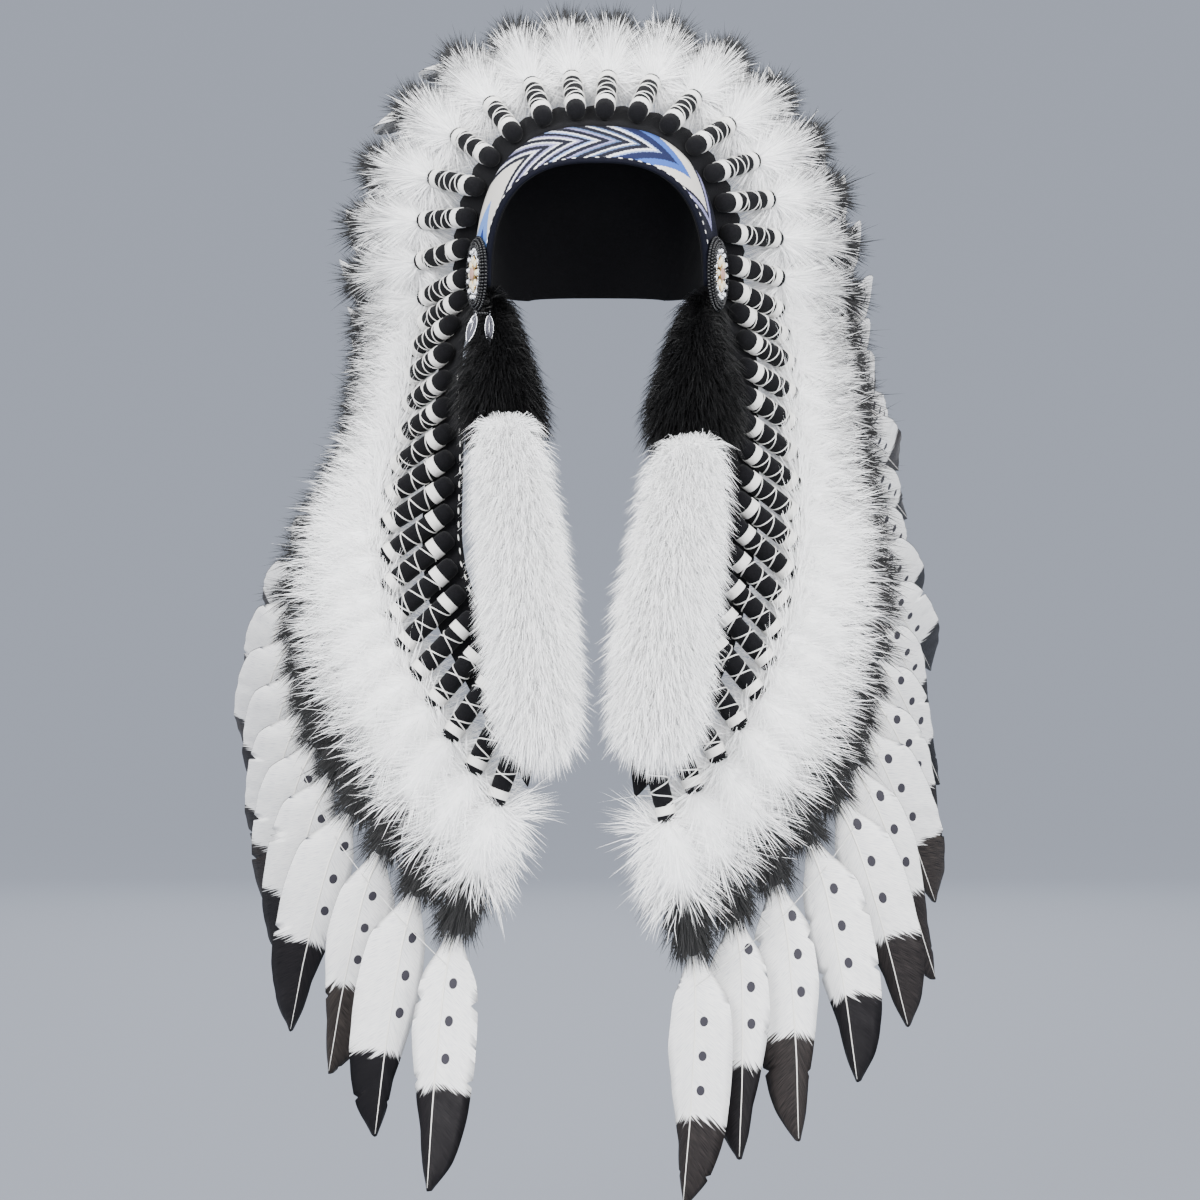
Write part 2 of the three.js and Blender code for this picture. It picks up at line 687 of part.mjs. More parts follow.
const BLACK_FELT = { color: 0x17171a, roughness: 0.95, metalness: 0 };
const BLUE_WEAVE = { color: 0xa9b6cf, roughness: 0.85, metalness: 0 };
const WHITE_FEATHER = { color: 0xf1f1ee, roughness: 0.75, metalness: 0 };
const WHITE_FUR = { color: 0xf7f7f5, roughness: 0.9, metalness: 0 };
const BLACK_FUR = { color: 0x0c0c0e, roughness: 0.8, metalness: 0 };
const GLASS_BEADS = { color: 0x5a5654, roughness: 0.25, metalness: 0.2 };
const SILVER = { color: 0xa9a9ac, roughness: 0.35, metalness: 1 };

const group = new THREE.Group();

function piece(name, geometry, finish) {
  const mesh = new THREE.Mesh(geometry, new THREE.MeshStandardMaterial(finish));
  mesh.name = name;
  group.add(mesh);
}

piece("cap", join([capShell(), feltStrip()]), BLACK_FELT);
piece("headband", headband(), BLUE_WEAVE);
piece("rosette_left", rosette(-1), GLASS_BEADS);
piece("rosette_right", rosette(1), GLASS_BEADS);
piece("metal_drops_left", metalDrops(-1), SILVER);
piece("cheek_fur_left", cheekFur(-1, CHEEK_LEFT), BLACK_FUR);
piece("cheek_fur_right", cheekFur(1, CHEEK_RIGHT), BLACK_FUR);
piece("fur_drop_left", whiteFur(-1, WHITE_LEFT), WHITE_FUR);
piece("fur_drop_right", whiteFur(1, WHITE_RIGHT), WHITE_FUR);

const row = featherRow();
row.forEach(({ name }, place) => piece(name, feather(row, place), WHITE_FEATHER));

export default group;
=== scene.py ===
"""Feathered headdress with two trailers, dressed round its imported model. Metres, +Z up."""

import math
import random

import bmesh
import bpy
import numpy as np
from mathutils import Matrix, Vector, noise


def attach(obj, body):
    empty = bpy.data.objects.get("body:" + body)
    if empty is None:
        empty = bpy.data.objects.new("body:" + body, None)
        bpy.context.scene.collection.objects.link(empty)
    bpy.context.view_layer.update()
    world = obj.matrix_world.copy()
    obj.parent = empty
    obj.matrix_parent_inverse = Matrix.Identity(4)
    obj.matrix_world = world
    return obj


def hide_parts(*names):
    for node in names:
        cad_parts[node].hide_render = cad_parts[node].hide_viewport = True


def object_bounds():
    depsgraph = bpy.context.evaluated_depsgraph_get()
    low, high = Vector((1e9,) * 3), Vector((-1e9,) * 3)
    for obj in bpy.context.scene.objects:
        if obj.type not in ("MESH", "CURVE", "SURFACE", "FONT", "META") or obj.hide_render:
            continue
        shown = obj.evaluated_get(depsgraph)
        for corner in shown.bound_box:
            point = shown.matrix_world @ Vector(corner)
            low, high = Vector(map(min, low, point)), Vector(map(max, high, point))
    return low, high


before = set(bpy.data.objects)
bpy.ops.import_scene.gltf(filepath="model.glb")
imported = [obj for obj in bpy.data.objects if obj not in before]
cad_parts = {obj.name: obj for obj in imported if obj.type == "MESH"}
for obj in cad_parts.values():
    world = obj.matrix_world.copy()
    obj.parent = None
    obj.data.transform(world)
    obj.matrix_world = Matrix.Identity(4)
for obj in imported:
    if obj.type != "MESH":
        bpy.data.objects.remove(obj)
cad_low, cad_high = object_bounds()

# Camera and studio. A camera at chest height in front of the wearer, and a pale seamless
# bowl of painted board round the whole set, lit by large soft boxes.
CAMERA_DISTANCE = 2.5
CAMERA_X = 0.002
CAMERA_Z = -0.3615
CAMERA_LENS = 100
FLOOR_DROP = 0.09
BOWL_FLAT = 4.6
BOWL_RADIUS = 6.4
BOWL_HEIGHT = 4.5
BACKDROP = "#4a4e56"
GLOW = "#a3a9b6"
GLOW_STRENGTH = 0.87
SKY_LIGHT = "#e9edf5"
SKY_STRENGTH = 0.7
# Each soft box: its name, place, size and power
SOFT_BOXES = [
    ("key_light", (-1.9, -2.4, 1.3), 2.2, 230),
    ("fill_light", (2.1, -2.3, 0.9), 2.2, 196),
    ("low_light", (0.2, -3.2, -0.5), 1.6, 86),
    ("top_light", (0.1, 0.9, 2.4), 2.4, 55),
    ("rear_light", (0.0, 3.2, 0.8), 2.4, 60),
]


def linear(code):
    """An sRGB hex colour as linear red, green, blue and alpha."""
    shares = [int(code[start : start + 2], 16) / 255 for start in (1, 3, 5)]
    return (*[s / 12.92 if s <= 0.04045 else ((s + 0.055) / 1.055) ** 2.4 for s in shares], 1.0)


def add(tree, kind, sockets, **settings):
    """A shader node with its settings, and a value or a link for each named socket."""
    made = tree.nodes.new("ShaderNode" + kind)
    for name, value in settings.items():
        setattr(made, name, value)
    for socket, value in sockets.items():
        if isinstance(value, bpy.types.NodeSocket):
            tree.links.new(value, made.inputs[socket])
        else:
            made.inputs[socket].default_value = value
    return made


def finish(name, **sockets):
    """A material, its node tree and its shader with the given socket values."""
    made = bpy.data.materials.new(name)
    made.use_nodes = True
    shader = made.node_tree.nodes["Principled BSDF"]
    for socket, value in sockets.items():
        shader.inputs[socket.replace("_", " ")].default_value = value
    return made, made.node_tree, shader


camera = bpy.data.objects.new("camera", bpy.data.cameras.new("camera"))
camera.data.lens = CAMERA_LENS
camera.location = (CAMERA_X, -CAMERA_DISTANCE, CAMERA_Z)
camera.rotation_euler = (math.pi / 2, 0, 0)
bpy.context.collection.objects.link(camera)
bpy.context.scene.camera = camera

board, tree, shader = finish(
    "painted board",
    Base_Color=linear(BACKDROP),
    Roughness=0.9,
    Emission_Color=linear(GLOW),
    Emission_Strength=GLOW_STRENGTH,
)
bm = bmesh.new()
floor_z = cad_low.z - FLOOR_DROP
profile = [Vector((0, 0, floor_z)), Vector((BOWL_FLAT, 0, floor_z))]
bend = BOWL_RADIUS - BOWL_FLAT
for step in range(1, 9):
    turn = step / 8 * math.pi / 2
    out = BOWL_FLAT + bend * math.sin(turn)
    profile.append(Vector((out, 0, floor_z + bend * (1 - math.cos(turn)))))
profile.append(Vector((BOWL_RADIUS, 0, floor_z + BOWL_HEIGHT)))
corners = [bm.verts.new(point) for point in profile]
edges = [bm.edges.new(pair) for pair in zip(corners, corners[1:])]
bmesh.ops.spin(
    bm,
    geom=corners + edges,
    cent=(0, 0, 0),
    axis=(0, 0, 1),
    angle=math.tau,
    steps=64,
    use_merge=True,
)
bmesh.ops.remove_doubles(bm, verts=bm.verts, dist=0.0001)
bmesh.ops.recalc_face_normals(bm, faces=bm.faces)
bowl_mesh = bpy.data.meshes.new("studio_bowl")
bm.to_mesh(bowl_mesh)
bm.free()
bowl_mesh.materials.append(board)
bowl_mesh.shade_smooth()
bowl = bpy.data.objects.new("studio_bowl", bowl_mesh)
bpy.context.collection.objects.link(bowl)

for name, place, size, power in SOFT_BOXES:
    lamp = bpy.data.lights.new(name, "AREA")
    lamp.shape = "SQUARE"
    lamp.size = size
    lamp.energy = power
    stand = bpy.data.objects.new(name, lamp)
    stand.location = place
    aim = Vector((0, 0, CAMERA_Z)) - Vector(place)
    stand.rotation_euler = aim.to_track_quat("-Z", "Y").to_euler()
    bpy.context.collection.objects.link(stand)

world = bpy.data.worlds.new("studio")
world.use_nodes = True
sky = world.node_tree.nodes["Background"]
sky.inputs["Color"].default_value = linear(SKY_LIGHT)
sky.inputs["Strength"].default_value = SKY_STRENGTH
bpy.context.scene.world = world


# Felt cap with its strip. Black wool felt, 2.5 mm thick: the cap is blocked to the head,
# and the strip that carries the feathers is cut in tabs and sewn on over the crown.
FELT_COLOUR = "#060607"
FELT_FUZZ = "#17171a"
FELT_FUZZ_SIZE = 1.1
CREASE_ANGLE = math.radians(48)
CREASE_WEIGHT = 0.9
FLAT_ANGLE = 0.01


def piece(mesh, name, finishes, slot, *nodes):
    """A finished piece of the headdress from its mesh or bmesh."""
    if isinstance(mesh, bmesh.types.BMesh):
        filled = bpy.data.meshes.new(name)
        mesh.to_mesh(filled)
        mesh.free()
        mesh = filled
    for material in finishes:
        mesh.materials.append(material)
    mesh.shade_smooth()
    made = bpy.data.objects.new(name, mesh)
    bpy.context.collection.objects.link(made)
    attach(made, "root")
    if nodes:
        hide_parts(*nodes)
    return made


def merged(node):
    """A copy of a node's mesh with its loose triangles joined."""
    made = bmesh.new()
    made.from_mesh(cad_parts[node].data)
    bmesh.ops.remove_doubles(made, verts=made.verts, dist=0.00001)
    return made


def mottled(name, dark, light, grain_size, detail, raised=0.0, depth=0.0, **sockets):
    """A finish mottled by grains of some millimetres, which may stand up from its surface."""
    made, tree, shader = finish(name, **sockets)
    place = add(tree, "TexCoord", {}).outputs["Object"]
    grain = add(
        tree, "TexNoise", {"Vector": place, "Scale": 1000 / grain_size, "Detail": detail}
    ).outputs["Fac"]
    tint = add(
        tree, "Mix", {0: grain, 6: linear(dark), 7: linear(light)}, data_type="RGBA"
    ).outputs[2]
    tree.links.new(tint, shader.inputs["Base Color"])
    if raised:
        bump = add(tree, "Bump", {"Height": grain, "Strength": raised, "Distance": depth})
        tree.links.new(bump.outputs["Normal"], shader.inputs["Normal"])
    return made


# Wool felt: matt, with a short fuzz that catches light at its edges.
felt = mottled(
    "black wool felt",
    FELT_COLOUR,
    FELT_FUZZ,
    FELT_FUZZ_SIZE,
    4.0,
    raised=0.5,
    depth=0.0006,
    Roughness=0.95,
    Specular_IOR_Level=0.1,
    Sheen_Weight=0.04,
)

bm = merged("cap")
bmesh.ops.dissolve_limit(bm, angle_limit=FLAT_ANGLE, verts=[], edges=bm.edges)
crease = bm.edges.layers.float.new("crease_edge")
for edge in bm.edges:
    if edge.is_manifold and edge.calc_face_angle() > CREASE_ANGLE:
        edge[crease] = CREASE_WEIGHT
cap = piece(bm, "felt_cap", [felt], "black_felt", "cap")
smooth = cap.modifiers.new("blocked", "SUBSURF")
smooth.levels = 2
smooth.render_levels = 2


# Headband. A jacquard ribbon with nested chevrons, sewn over the brow, and a navy binding
# rolled over its lower edge and held with white running stitches.
BAND_HALF_WIDTH = 0.090
BAND_DROP = 0.129
BAND_REACH = 0.098
BAND_SQUARENESS = 2.6
BAND_FACE = 0.0023
BAND_THICK = 0.0018
BAND_WIDE = 44.0
CHEVRON_SLOPE = 1.6
THREAD_STEP = 1.0
RAMP_LENGTH = 420.0
WEAVE_DEPTH = 0.0003
NAVY = "#03051a"
DEEP_BLUE = "#0b1742"
ROYAL = "#12307f"
SKY = "#6a92d8"
MID_BLUE = "#3a60b0"
PALE_BLUE = "#8ba3d4"
STEEL = "#566c93"
LAVENDER = "#908fba"
CREAM = "#dcd8d0"
WHITE = "#e9e9ec"
FRONT_ARCH = {"back": -0.76, "end_back": -0.35, "down": 0.32, "across": 0.89}
REAR_ARCH = {"back": -0.45, "end_back": 0.06, "down": 0.11, "across": 1.0}
# Stripes from the left ear to the right one: how far each one's point lies from the middle of
# the brow, in millimetres
STRIPES = [
    (-170.0, SKY), (-143.0, WHITE), (-134.0, ROYAL), (-119.0, SKY), (-98.0, CREAM),
    (-57.3, NAVY), (-49.3, WHITE), (-45.0, LAVENDER),
    (-42.5, NAVY), (-34.5, LAVENDER), (-30.5, WHITE),
    (-27.2, NAVY), (-19.2, WHITE), (-15.5, LAVENDER),
    (-12.7, NAVY), (-4.7, PALE_BLUE), (-1.5, WHITE),
    (1.5, NAVY), (9.5, LAVENDER), (12.5, STEEL),
    (16.2, NAVY), (24.2, WHITE), (28.0, STEEL),
    (31.2, NAVY), (39.2, WHITE), (43.0, PALE_BLUE),
    (46.7, DEEP_BLUE), (62.1, MID_BLUE), (77.1, CREAM),
    (104.0, NAVY), (111.0, LAVENDER), (119.0, NAVY),
]  # fmt: skip
BAND_CROWN = 0.0006
BINDING_STEPS = 120
BINDING_RADIUS = 0.0024
BINDING_OUT = 0.0016
BINDING_DARK = "#030409"
BINDING_LIGHT = "#0c0e1e"
BINDING_RIB_SIZE = 0.7
THREAD_SHADE = "#cfcdc8"
THREAD_WHITE = "#fbfaf7"
THREAD_PLY_SIZE = 0.55
STITCH_STEP = 0.0062
STITCH_LENGTH = 0.0034
STITCH_RADIUS = 0.00055
STITCH_OUT = 0.0022


def band_point(turn, share, out):
    """A point over the brow: turn from -1 to 1 ear to ear, share from the face to the rear."""

    def on_cap(turn, share):
        arch = {key: FRONT_ARCH[key] * (1 - share) + REAR_ARCH[key] * share for key in FRONT_ARCH}
        angle = turn * math.pi / 2
        side = math.copysign(abs(math.sin(angle)) ** (2 / BAND_SQUARENESS), turn)
        rise = max(math.cos(angle), 0) ** (2 / BAND_SQUARENESS)
        depth = arch["back"] + (arch["end_back"] - arch["back"]) * (1 - rise)
        top = -arch["down"] * BAND_DROP
        height = -BAND_DROP + (top + BAND_DROP) * rise
        return Vector((arch["across"] * BAND_HALF_WIDTH * side, depth * BAND_REACH, height))

    inside = min(max(turn, -0.99), 0.99)
    run = on_cap(inside + 0.01, share) - on_cap(inside - 0.01, share)
    slope = on_cap(inside, share + 0.01) - on_cap(inside, share - 0.01)
    return on_cap(turn, share) + run.cross(slope).normalized() * out


def tube(bm, points, radii, sides):
    """A round tube through points, made by extruding a circle from each one to the next."""
    ways = [(after - before).normalized() for before, after in zip(points, points[1:])]
    ways.append(ways[-1])
    side = ways[0].orthogonal().normalized()
    frames = []
    for point, way, radius in zip(points, ways, radii):
        side = (side - way * side.dot(way)).normalized()
        axes = Matrix((side, way.cross(side), way)).transposed().to_4x4()
        size = Matrix.Diagonal((radius, radius, radius, 1))
        frames.append(Matrix.Translation(point) @ axes @ size)
    first = bmesh.ops.create_circle(bm, cap_ends=True, segments=sides, radius=1, matrix=frames[0])
    verts = first["verts"]
    edges = list({edge for vert in verts for edge in vert.link_edges})
    for here, there in zip(frames, frames[1:]):
        grown = bmesh.ops.extrude_edge_only(bm, edges=edges)["geom"]
        verts = [item for item in grown if isinstance(item, bmesh.types.BMVert)]
        edges = [item for item in grown if isinstance(item, bmesh.types.BMEdge)]
        bmesh.ops.transform(bm, matrix=there @ here.inverted(), verts=verts)
    bmesh.ops.contextual_create(bm, geom=edges)


def stitch(bm, start, end, radius):
    """A short thread stitch as a long bead."""
    way = end - start
    turn = way.to_track_quat("Z", "Y").to_matrix().to_4x4()
    size = Matrix.Diagonal((radius, radius, way.length / 2, 1))
    matrix = Matrix.Translation((start + end) / 2) @ turn @ size
    bmesh.ops.create_uvsphere(bm, u_segments=8, v_segments=6, radius=1, matrix=matrix)


turns = np.linspace(-1, 1, 201)
middles = [band_point(turn, 0.5, BAND_FACE) for turn in turns]
passed = np.cumsum([0] + [(b - a).length * 1000 for a, b in zip(middles, middles[1:])])

# Polyester ribbon: a fine weave whose steps show along the chevrons, with a soft lustre and
# painted shade in the dips of the weave.
ribbon, tree, shader = finish("woven polyester ribbon", Roughness=0.75, Specular_IOR_Level=0.3)
uv = add(tree, "UVMap", {}, uv_map="weave").outputs["UV"]
axes = add(tree, "SeparateXYZ", {0: uv}).outputs
along = add(tree, "Math", {0: axes[0], 1: THREAD_STEP}, operation="SNAP").outputs[0]
across = add(tree, "Math", {0: axes[1], 1: THREAD_STEP}, operation="SNAP").outputs[0]
from_middle = add(tree, "Math", {0: across, 1: BAND_WIDE / 2}, operation="SUBTRACT").outputs[0]
off_middle = add(tree, "Math", {0: from_middle}, operation="ABSOLUTE").outputs[0]
chevron = add(
    tree, "Math", {0: off_middle, 1: CHEVRON_SLOPE, 2: along}, operation="MULTIPLY_ADD"
).outputs[0]
share = add(tree, "Math", {0: chevron, 1: RAMP_LENGTH}, operation="DIVIDE").outputs[0]
stripes = add(tree, "ValToRGB", {"Fac": share})
stripes.color_ramp.interpolation = "CONSTANT"
for number, (start, code) in enumerate(STRIPES):
    ramp = stripes.color_ramp.elements
    position = max(passed[-1] / 2 + start, 0) / RAMP_LENGTH
    if number < 2:
        stop = ramp[number]
        stop.position = position
    else:
        stop = ramp.new(position)
    stop.color = linear(code)
# A real thread is half as wide, which is too fine to show.
threads = math.tau / THREAD_STEP
warp = add(tree, "Math", {0: axes[0], 1: threads}, operation="MULTIPLY").outputs[0]
weft = add(tree, "Math", {0: axes[1], 1: threads}, operation="MULTIPLY").outputs[0]
warp_wave = add(tree, "Math", {0: warp}, operation="SINE").outputs[0]
weft_wave = add(tree, "Math", {0: weft}, operation="SINE").outputs[0]
cloth = add(tree, "Math", {0: warp_wave, 1: weft_wave}, operation="MULTIPLY").outputs[0]
# Painted shade: the stripe colours are darkened where the weave dips, in step with its bump.
shade = add(tree, "MapRange", {"Value": cloth, 1: -1.0, 2: 1.0, 3: 0.82, 4: 1.0}).outputs[0]
woven = add(
    tree, "Mix", {0: 1.0, 6: stripes.outputs[0], 7: shade}, data_type="RGBA", blend_type="MULTIPLY"
).outputs[2]
bump = add(
    tree, "Bump", {"Height": cloth, "Strength": 0.35, "Distance": WEAVE_DEPTH}
).outputs["Normal"]
tree.links.new(woven, shader.inputs["Base Color"])
tree.links.new(bump, shader.inputs["Normal"])

bm = bmesh.new()
bmesh.ops.create_grid(bm, x_segments=110, y_segments=10, size=1)
layer = bm.loops.layers.uv.new("weave")
for face in bm.faces:
    for loop in face.loops:
        turn, share = loop.vert.co.x, (loop.vert.co.y + 1) / 2
        loop[layer].uv = (np.interp(turn, turns, passed), share * BAND_WIDE)
for vert in bm.verts:
    bulge = BAND_CROWN * (1 - vert.co.y**2)
    vert.co = band_point(vert.co.x, (vert.co.y + 1) / 2, BAND_FACE + bulge)
bmesh.ops.recalc_face_normals(bm, faces=bm.faces)
if max(bm.faces, key=lambda face: face.calc_center_median().z).normal.z < 0:
    bmesh.ops.reverse_faces(bm, faces=bm.faces)
band = piece(bm, "woven_band", [ribbon], "woven_band", "headband")
wall = band.modifiers.new("thickness", "SOLIDIFY")
wall.thickness = BAND_THICK
wall.offset = -1

# Cotton binding: a plain dark cloth, slightly shiny where it is rolled tight.
binding_cloth = mottled(
    "navy cotton binding",
    BINDING_DARK,
    BINDING_LIGHT,
    BINDING_RIB_SIZE,
    3.0,
    raised=0.6,
    depth=0.0005,
    Roughness=0.8,
    Specular_IOR_Level=0.15,
)
# Cotton thread: off-white and matt, twisted from fine plies.
thread = mottled(
    "white cotton thread",
    THREAD_SHADE,
    THREAD_WHITE,
    THREAD_PLY_SIZE,
    3.0,
    raised=0.5,
    depth=0.0003,
    Roughness=0.8,
)

bm = bmesh.new()
stations = np.linspace(-1, 1, BINDING_STEPS + 1)
edge_line = [band_point(turn, 0.0, BAND_FACE / 2) for turn in stations]
rear_line = [band_point(turn, 0.1, BAND_FACE / 2) for turn in stations]
roll = [
    front + (front - rear).normalized() * BINDING_OUT for front, rear in zip(edge_line, rear_line)
]
tube(bm, roll, [BINDING_RADIUS] * len(roll), 10)
piece(bm, "band_binding", [binding_cloth], "woven_band")
bm = bmesh.new()
travelled = 0.0
for number in range(1, len(roll) - 1):
    travelled += (roll[number] - roll[number - 1]).length
    if travelled > STITCH_STEP:
        travelled = 0.0
        way = (roll[number + 1] - roll[number - 1]).normalized()
        turn = -1 + 2 * number / BINDING_STEPS
        out = band_point(turn, 0.0, 0.01) - band_point(turn, 0.0, 0.0)
        middle = roll[number] + out.normalized() * STITCH_OUT
        half = way * STITCH_LENGTH / 2
        stitch(bm, middle - half, middle + half, STITCH_RADIUS)
piece(bm, "band_stitches", [thread], "woven_band")


# Feathers. Each is a goose feather tied to a felt-covered tube wound with white thread,
# with a tuft of white fur at the joint. Its vane is painted with dots and a dark tip.
WRAP_LENGTH = 0.062
FUR_COUNT = 2500
FUR_WIDTH = 0.0006
WHITE_SHARE = 0.64
BEHIND_SHARE = 0.15
WHITE_HAIR = 0.029
BLACK_HAIR = 0.022
LONG_HAIR = 1.35
QUILL_RADIUS = 0.0009
VANE_THICK = 0.0005
VANE_CURL = 0.0035
VANE_RIPPLE = 0.0012
RUFF_MIDDLE = Vector((0, 0, -0.15))
VANE_ROWS = 64
VANE_COLUMNS = 8
BARB_SLANT = 1.0
DOT_SPACING = 0.027
TIE_PLACE = 0.018
TIP_SHARE = 0.63
# Dots, in millimetres beside the rib and across, and half their length in spacings
DOT_ASIDE = 6.2
DOT_HALF_WIDTH = 3.0
DOT_HALF_SHARE = 0.147
# Noise along the barbs, in waves a millimetre, and how ragged it makes the dark tip's edge
BARB_NOISE = 0.7
FINE_BARB_NOISE = 2.2
RAGGED_MM = 30.0
VANE_WHITE = "#f4f3f0"
VANE_GREY = "#c9c9ce"
# Dark tip: near black, with lighter grey patches as painted sheen, and brown where the feather is
# aged
TIP_DARK = "#09080a"
TIP_SHEEN_GREY = "#2f2c31"
TIP_BROWN = "#463f3a"
DOT_GREY = "#35333a"
QUILL = "#f2efe8"
FUR_WHITE = "#ffffff"
FUR_BLACK = "#070708"

# The wrap, made once for all the feathers: felt tube as radius and height, two wound thread
# bands as their low and high ends, and two threads that cross between them
FELT_FOOT = [
    (0.0, -0.0004), (0.0042, 0.0), (0.0066, 0.0018), (0.0073, 0.005), (0.0073, 0.0112),
]  # fmt: skip
FELT_MIDDLE = [(0.0069, 0.0182), (0.0073, 0.021), (0.0073, 0.048), (0.0067, 0.0508)]
FELT_END = [
    (0.0066, 0.0572), (0.0072, 0.0585), (0.0069, 0.0608), (0.0060, 0.0622), (0.0, 0.0612),
]  # fmt: skip
BAND_NEAR = (0.0112, 0.0182)
BAND_FAR = (0.0508, 0.0572)
TURNS_WOUND = 6
CROSSING_OUT = 0.0075
CROSSING_RADIUS = 0.00055
CROSSING_TURNS = 2.25
CROSSING_STEPS = 36
bm = bmesh.new()


def wound(bm, profile, finish_index, steps=14):
    """A turned body of (radius, height) points about the Z axis."""
    verts = [bm.verts.new((radius, 0, height)) for radius, height in profile]
    edges = [bm.edges.new(pair) for pair in zip(verts, verts[1:])]
    made = set(bm.faces)
    bmesh.ops.spin(
        bm,
        geom=verts + edges,
        cent=(0, 0, 0),
        axis=(0, 0, 1),
        angle=math.tau,
        steps=steps,
        use_merge=True,
    )
    for face in set(bm.faces) - made:
        face.material_index = finish_index


wound(bm, FELT_FOOT, 0)
for low, high in (BAND_NEAR, BAND_FAR):
    ridges = [(0.0068, low)]
    for number in range(TURNS_WOUND):
        start = low + (high - low) * number / TURNS_WOUND
        step = (high - low) / TURNS_WOUND
        ridges += [(0.0078, start + share * step) for share in (0.25, 0.7)]
        ridges.append((0.0074, start + step))
    ridges.append((0.0066, high))
    wound(bm, ridges, 1)
wound(bm, FELT_MIDDLE, 0)
wound(bm, FELT_END, 0)
for sense in (1, -1):
    foot = Matrix.Translation((CROSSING_OUT, 0, BAND_NEAR[1]))
    upright = foot @ Matrix.Rotation(math.pi / 2, 4, "X")
    ring = bmesh.ops.create_circle(
        bm, cap_ends=False, segments=4, radius=CROSSING_RADIUS, matrix=upright
    )["verts"]
    edges = list({edge for vert in ring for edge in vert.link_edges})
    made = set(bm.faces)
    bmesh.ops.spin(
        bm,
        geom=ring + edges,
        cent=(0, 0, 0),
        axis=(0, 0, 1),
        dvec=(0, 0, (BAND_FAR[0] - BAND_NEAR[1]) / CROSSING_STEPS),
        angle=sense * math.tau * CROSSING_TURNS,
        steps=CROSSING_STEPS,
    )
    for face in set(bm.faces) - made:
        face.material_index = 1
bmesh.ops.remove_doubles(bm, verts=bm.verts, dist=0.00002)
bmesh.ops.recalc_face_normals(bm, faces=bm.faces)
wrap_mesh = bpy.data.meshes.new("wrap")
bm.to_mesh(wrap_mesh)
bm.free()

# Fur: white soft hair whose tips are black where the pelt was dark.
fur, tree, shader = finish("white fur with black tips", Roughness=0.75, Sheen_Weight=0.2)
tone = add(tree, "Attribute", {}, attribute_name="tone").outputs["Fac"]
tint = add(
    tree, "Mix", {0: tone, 6: linear(FUR_WHITE), 7: linear(FUR_BLACK)}, data_type="RGBA"
).outputs[2]
tree.links.new(tint, shader.inputs["Base Color"])

# Goose vane: fine slanting barbs, chalky white with painted grey dots and a dark tip, whose
# lighter grey patches are painted sheen.
vane, tree, shader = finish("painted goose vane", Roughness=0.62, Specular_IOR_Level=0.2)
uv = add(tree, "UVMap", {}, uv_map="blade").outputs["UV"]
blade = add(tree, "SeparateXYZ", {0: uv}).outputs
barb = add(tree, "Attribute", {}, attribute_name="barb").outputs["Fac"]
dark = add(tree, "Attribute", {}, attribute_name="dark").outputs["Fac"]
cross = add(tree, "Math", {0: blade[0], 1: 0.06}, operation="MULTIPLY").outputs[0]
grain = add(tree, "CombineXYZ", {0: cross, 1: barb, 2: 0.0}).outputs[0]
streak = add(
    tree, "TexNoise", {"Vector": grain, "Scale": BARB_NOISE, "Detail": 3.0}
).outputs["Fac"]
fine = add(
    tree, "TexNoise", {"Vector": grain, "Scale": FINE_BARB_NOISE, "Detail": 2.0}
).outputs["Fac"]
chalk = add(tree, "MapRange", {"Value": fine, 1: 0.46, 2: 0.7, 3: 0.0, 4: 1.0}).outputs[0]
body = add(
    tree, "Mix", {0: chalk, 6: linear(VANE_WHITE), 7: linear(VANE_GREY)}, data_type="RGBA"
).outputs[2]
down = add(tree, "Math", {0: blade[1], 1: 0.5}, operation="ADD").outputs[0]
turn = add(tree, "Math", {0: down}, operation="FRACT").outputs[0]
off = add(tree, "Math", {0: turn, 1: 0.5}, operation="SUBTRACT").outputs[0]
tall = add(tree, "Math", {0: off, 1: DOT_HALF_SHARE}, operation="DIVIDE").outputs[0]
shifted = add(tree, "Math", {0: blade[0], 1: -DOT_ASIDE}, operation="ADD").outputs[0]
wide = add(tree, "Math", {0: shifted, 1: DOT_HALF_WIDTH}, operation="DIVIDE").outputs[0]
tall_square = add(tree, "Math", {0: tall, 1: tall}, operation="MULTIPLY").outputs[0]
round_off = add(
    tree, "Math", {0: wide, 1: wide, 2: tall_square}, operation="MULTIPLY_ADD"
).outputs[0]
inside = add(tree, "Math", {0: round_off, 1: 1.0}, operation="LESS_THAN").outputs[0]
first = add(tree, "Math", {0: blade[1], 1: -0.5}, operation="GREATER_THAN").outputs[0]
last = add(tree, "Math", {0: blade[1], 1: 2.5}, operation="LESS_THAN").outputs[0]
in_row = add(tree, "Math", {0: first, 1: last}, operation="MULTIPLY").outputs[0]
dot = add(tree, "Math", {0: inside, 1: in_row}, operation="MULTIPLY").outputs[0]
dotted = add(tree, "Mix", {0: dot, 6: body, 7: linear(DOT_GREY)}, data_type="RGBA").outputs[2]
ragged = add(tree, "Math", {0: streak, 1: RAGGED_MM, 2: dark}, operation="MULTIPLY_ADD").outputs[0]
tipped = add(tree, "MapRange", {"Value": ragged, 1: 14.0, 2: 16.2, 3: 0.0, 4: 1.0}).outputs[0]
